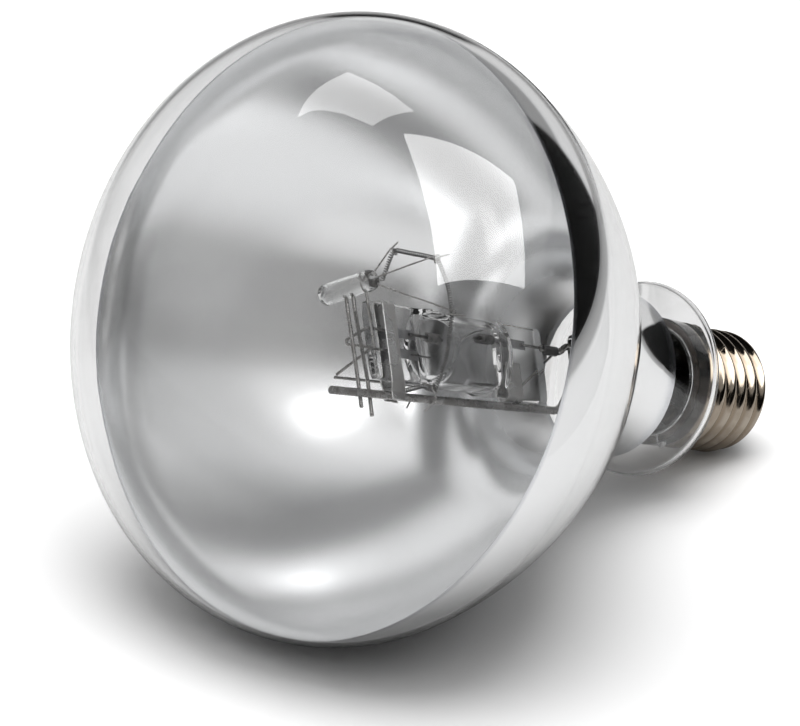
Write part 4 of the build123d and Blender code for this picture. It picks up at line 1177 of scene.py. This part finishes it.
square = ((-1, -1), (1, -1), (1, 1), (-1, 1))
floor, tree, inputs = stage_square("floor", [(reach * x, reach * y, drop) for x, y in square])
# Painted pool of light: white near its middle and grey beyond, and brighter to the camera than in
# reflections.
distance = vector_math(tree, "DISTANCE", object_place(tree), light_pool_middle)["Value"]
seen = tree.nodes.new("ShaderNodeLightPath").outputs["Is Camera Ray"]
painted_light_pool = mix(tree, seen, grey(0.62), grey(0.93))
painted_dim_surround = mix(tree, seen, grey(0.3), grey(0.6))
fill(tree, inputs["Base Color"], mix(tree, ramp(tree, distance, 0.42, 0.6), painted_light_pool, painted_dim_surround))
inputs["Roughness"].default_value = 0.7
inputs["Specular IOR Level"].default_value = 0.2
print("floor:", 2 * reach, "m wide")

# %% [markdown]
# ## Cards for the cap
# A photographer sets black cards round shiny metal to give it contrast. One hangs over the cap, and a
# long low one stands well off to its side. Only reflections see them: no camera, shadow or soft light does.

# %% Cards
def facing_axes(middle, target):
    """Level and rising directions of a panel that faces a target, both square to the line between."""
    back = unit(np.subtract(middle, target))
    level = unit(np.cross(axis_way, back)) if abs(back[2]) < 0.99 else side_way
    return level, np.cross(back, level)


def card(name, middle, target, width, height, brightness):
    """Rectangle in millimetres that faces a target and glows faintly with one brightness."""
    level, rise = facing_axes(middle, target)
    corners = [(middle + a * level * width / 2 + b * rise * height / 2) * MM for a, b in square]
    thing, tree, inputs = stage_square(name, corners)
    thing.visible_camera = thing.visible_diffuse = thing.visible_shadow = thing.visible_transmission = False
    fill(tree, inputs["Base Color"], grey(0.0))
    fill(tree, inputs["Emission Color"], grey(brightness))
    inputs["Emission Strength"].default_value = 1.0
    inputs["Specular IOR Level"].default_value = 0.0


cap_middle = on_lamp(np.array([[0.0, 0.0, shell_top - 11.0]]))[0] / MM
card("black_card", (-20, 100, 85), (-20, 100, 0), 130, 90, 0.004)
card("black_strip", cap_middle + (112, 16, 18), cap_middle, 184, 48, 0.003)
print("cap's middle", np.round(cap_middle, 1), "mm")

# %% [markdown]
# ## Lights for the cap and the glass
# A small soft light beside the cap gives each crest its white glint. The domed face is a weak convex
# mirror: it shows the studio's two softboxes as crisp, curved panes. Each light is linked to its one piece,
# and only a reflection sees it, so the film behind the glass doesn't mirror it a second time.

# %% Linked lights
softbox_aim = np.array((0.02, -0.05, 0.1))


def linked_light(name, piece, middle, across, rise, brightness):
    """Rectangle of light from its middle and two edges; its radiance is power over pi and area."""
    data = bpy.data.lights.new(name, "AREA")
    data.shape = "RECTANGLE"
    across, rise = np.array(across), np.array(rise)
    data.size, data.size_y = np.linalg.norm(across), np.linalg.norm(rise)
    data.energy = brightness * pi * data.size * data.size_y
    back = unit(np.cross(across, rise))
    turn = np.column_stack((unit(across), np.cross(back, unit(across)), back))
    thing = bpy.data.objects.new(name, data)
    thing.matrix_world = Matrix.Translation(middle) @ Matrix(turn.tolist()).to_4x4()
    thing.visible_camera = thing.visible_diffuse = thing.visible_transmission = False
    bpy.context.scene.collection.objects.link(thing)
    lit = bpy.data.collections.new("lit_by_" + name)
    lit.objects.link(piece)
    thing.light_linking.receiver_collection = lit
    print(name, "%.3f by %.3f m" % (data.size, data.size_y), "for", piece.name)


kicker_aim = cap_middle * MM - ahead * 5.0 * MM
kicker_middle = kicker_aim + np.array((23, 5, 25)) * MM
kicker_level, kicker_rise = facing_axes(kicker_middle, kicker_aim)
linked_light("cap_kicker", screw_shell, kicker_middle, kicker_level * 34 * MM, kicker_rise * 24 * MM, 3.4)
for name, middle, across, rise, brightness in (
    ("front_softbox", (0.2475, -0.216, 0.6755), (0.717, 0.712, -0.007), (-0.339, 0.328, 0.38), 10.0),
    ("side_softbox", (-0.465, -0.325, 0.699), (0.168, -0.085, 0.357), (0.326, 0.469, -0.042), 6.0),
):
    linked_light(name, envelope, softbox_aim + middle, across, rise, brightness)

# %% [markdown]
# ## Ceiling light
# One broad disc overhead lights the floor and gives the soft shadow that holds the lamp down. The mirror
# and the glass don't see it, because the painted sky already has their ceiling.

# %% Ceiling light
ceiling_data = bpy.data.lights.new("ceiling_bounce", "AREA")
ceiling_data.shape = "DISK"
ceiling_data.size = 1.6
ceiling_data.energy = 24.0
ceiling = bpy.data.objects.new("ceiling_bounce", ceiling_data)
ceiling.location = (0.02, 0.02, 1.6)
ceiling.visible_camera = ceiling.visible_glossy = ceiling.visible_transmission = False
bpy.context.scene.collection.objects.link(ceiling)
print("ceiling light:", ceiling_data.energy, "W")

# %% [markdown]
# ## Camera
# The camera stands a good metre off with a long lens, which keeps the bowl's ellipse true. Its place is
# measured from the middle of the widest plane, along its own right, down and forward directions.

# %% Camera
camera_data = bpy.data.cameras.new("camera")
camera = bpy.data.objects.new("camera", camera_data)
bpy.context.scene.collection.objects.link(camera)
bpy.context.scene.camera = camera
camera_data.sensor_width = 36.0
camera_data.lens = 260.5
camera_data.clip_start, camera_data.clip_end = 0.05, 60.0
camera_turn, camera_rise = radians(44.3), radians(23.2)
right = np.array([cos(camera_turn), sin(camera_turn), 0.0])
level_forward = np.array([-sin(camera_turn), cos(camera_turn), 0.0])
forward = cos(camera_rise) * level_forward - sin(camera_rise) * axis_way
down = np.cross(forward, right)
camera.location = widest - (-11.60 * right - 6.77 * down + 1150.7 * forward) * MM
camera.rotation_euler = (pi / 2 - camera_rise, 0.0, camera_turn)
bpy.context.scene.view_settings.view_transform = "Standard"
print("camera at", np.round(camera.location, 3), "m")

# %% [markdown]
# ## Sizes
# Every shape above comes from the same measures.

# %% Sizes
print("scene built")
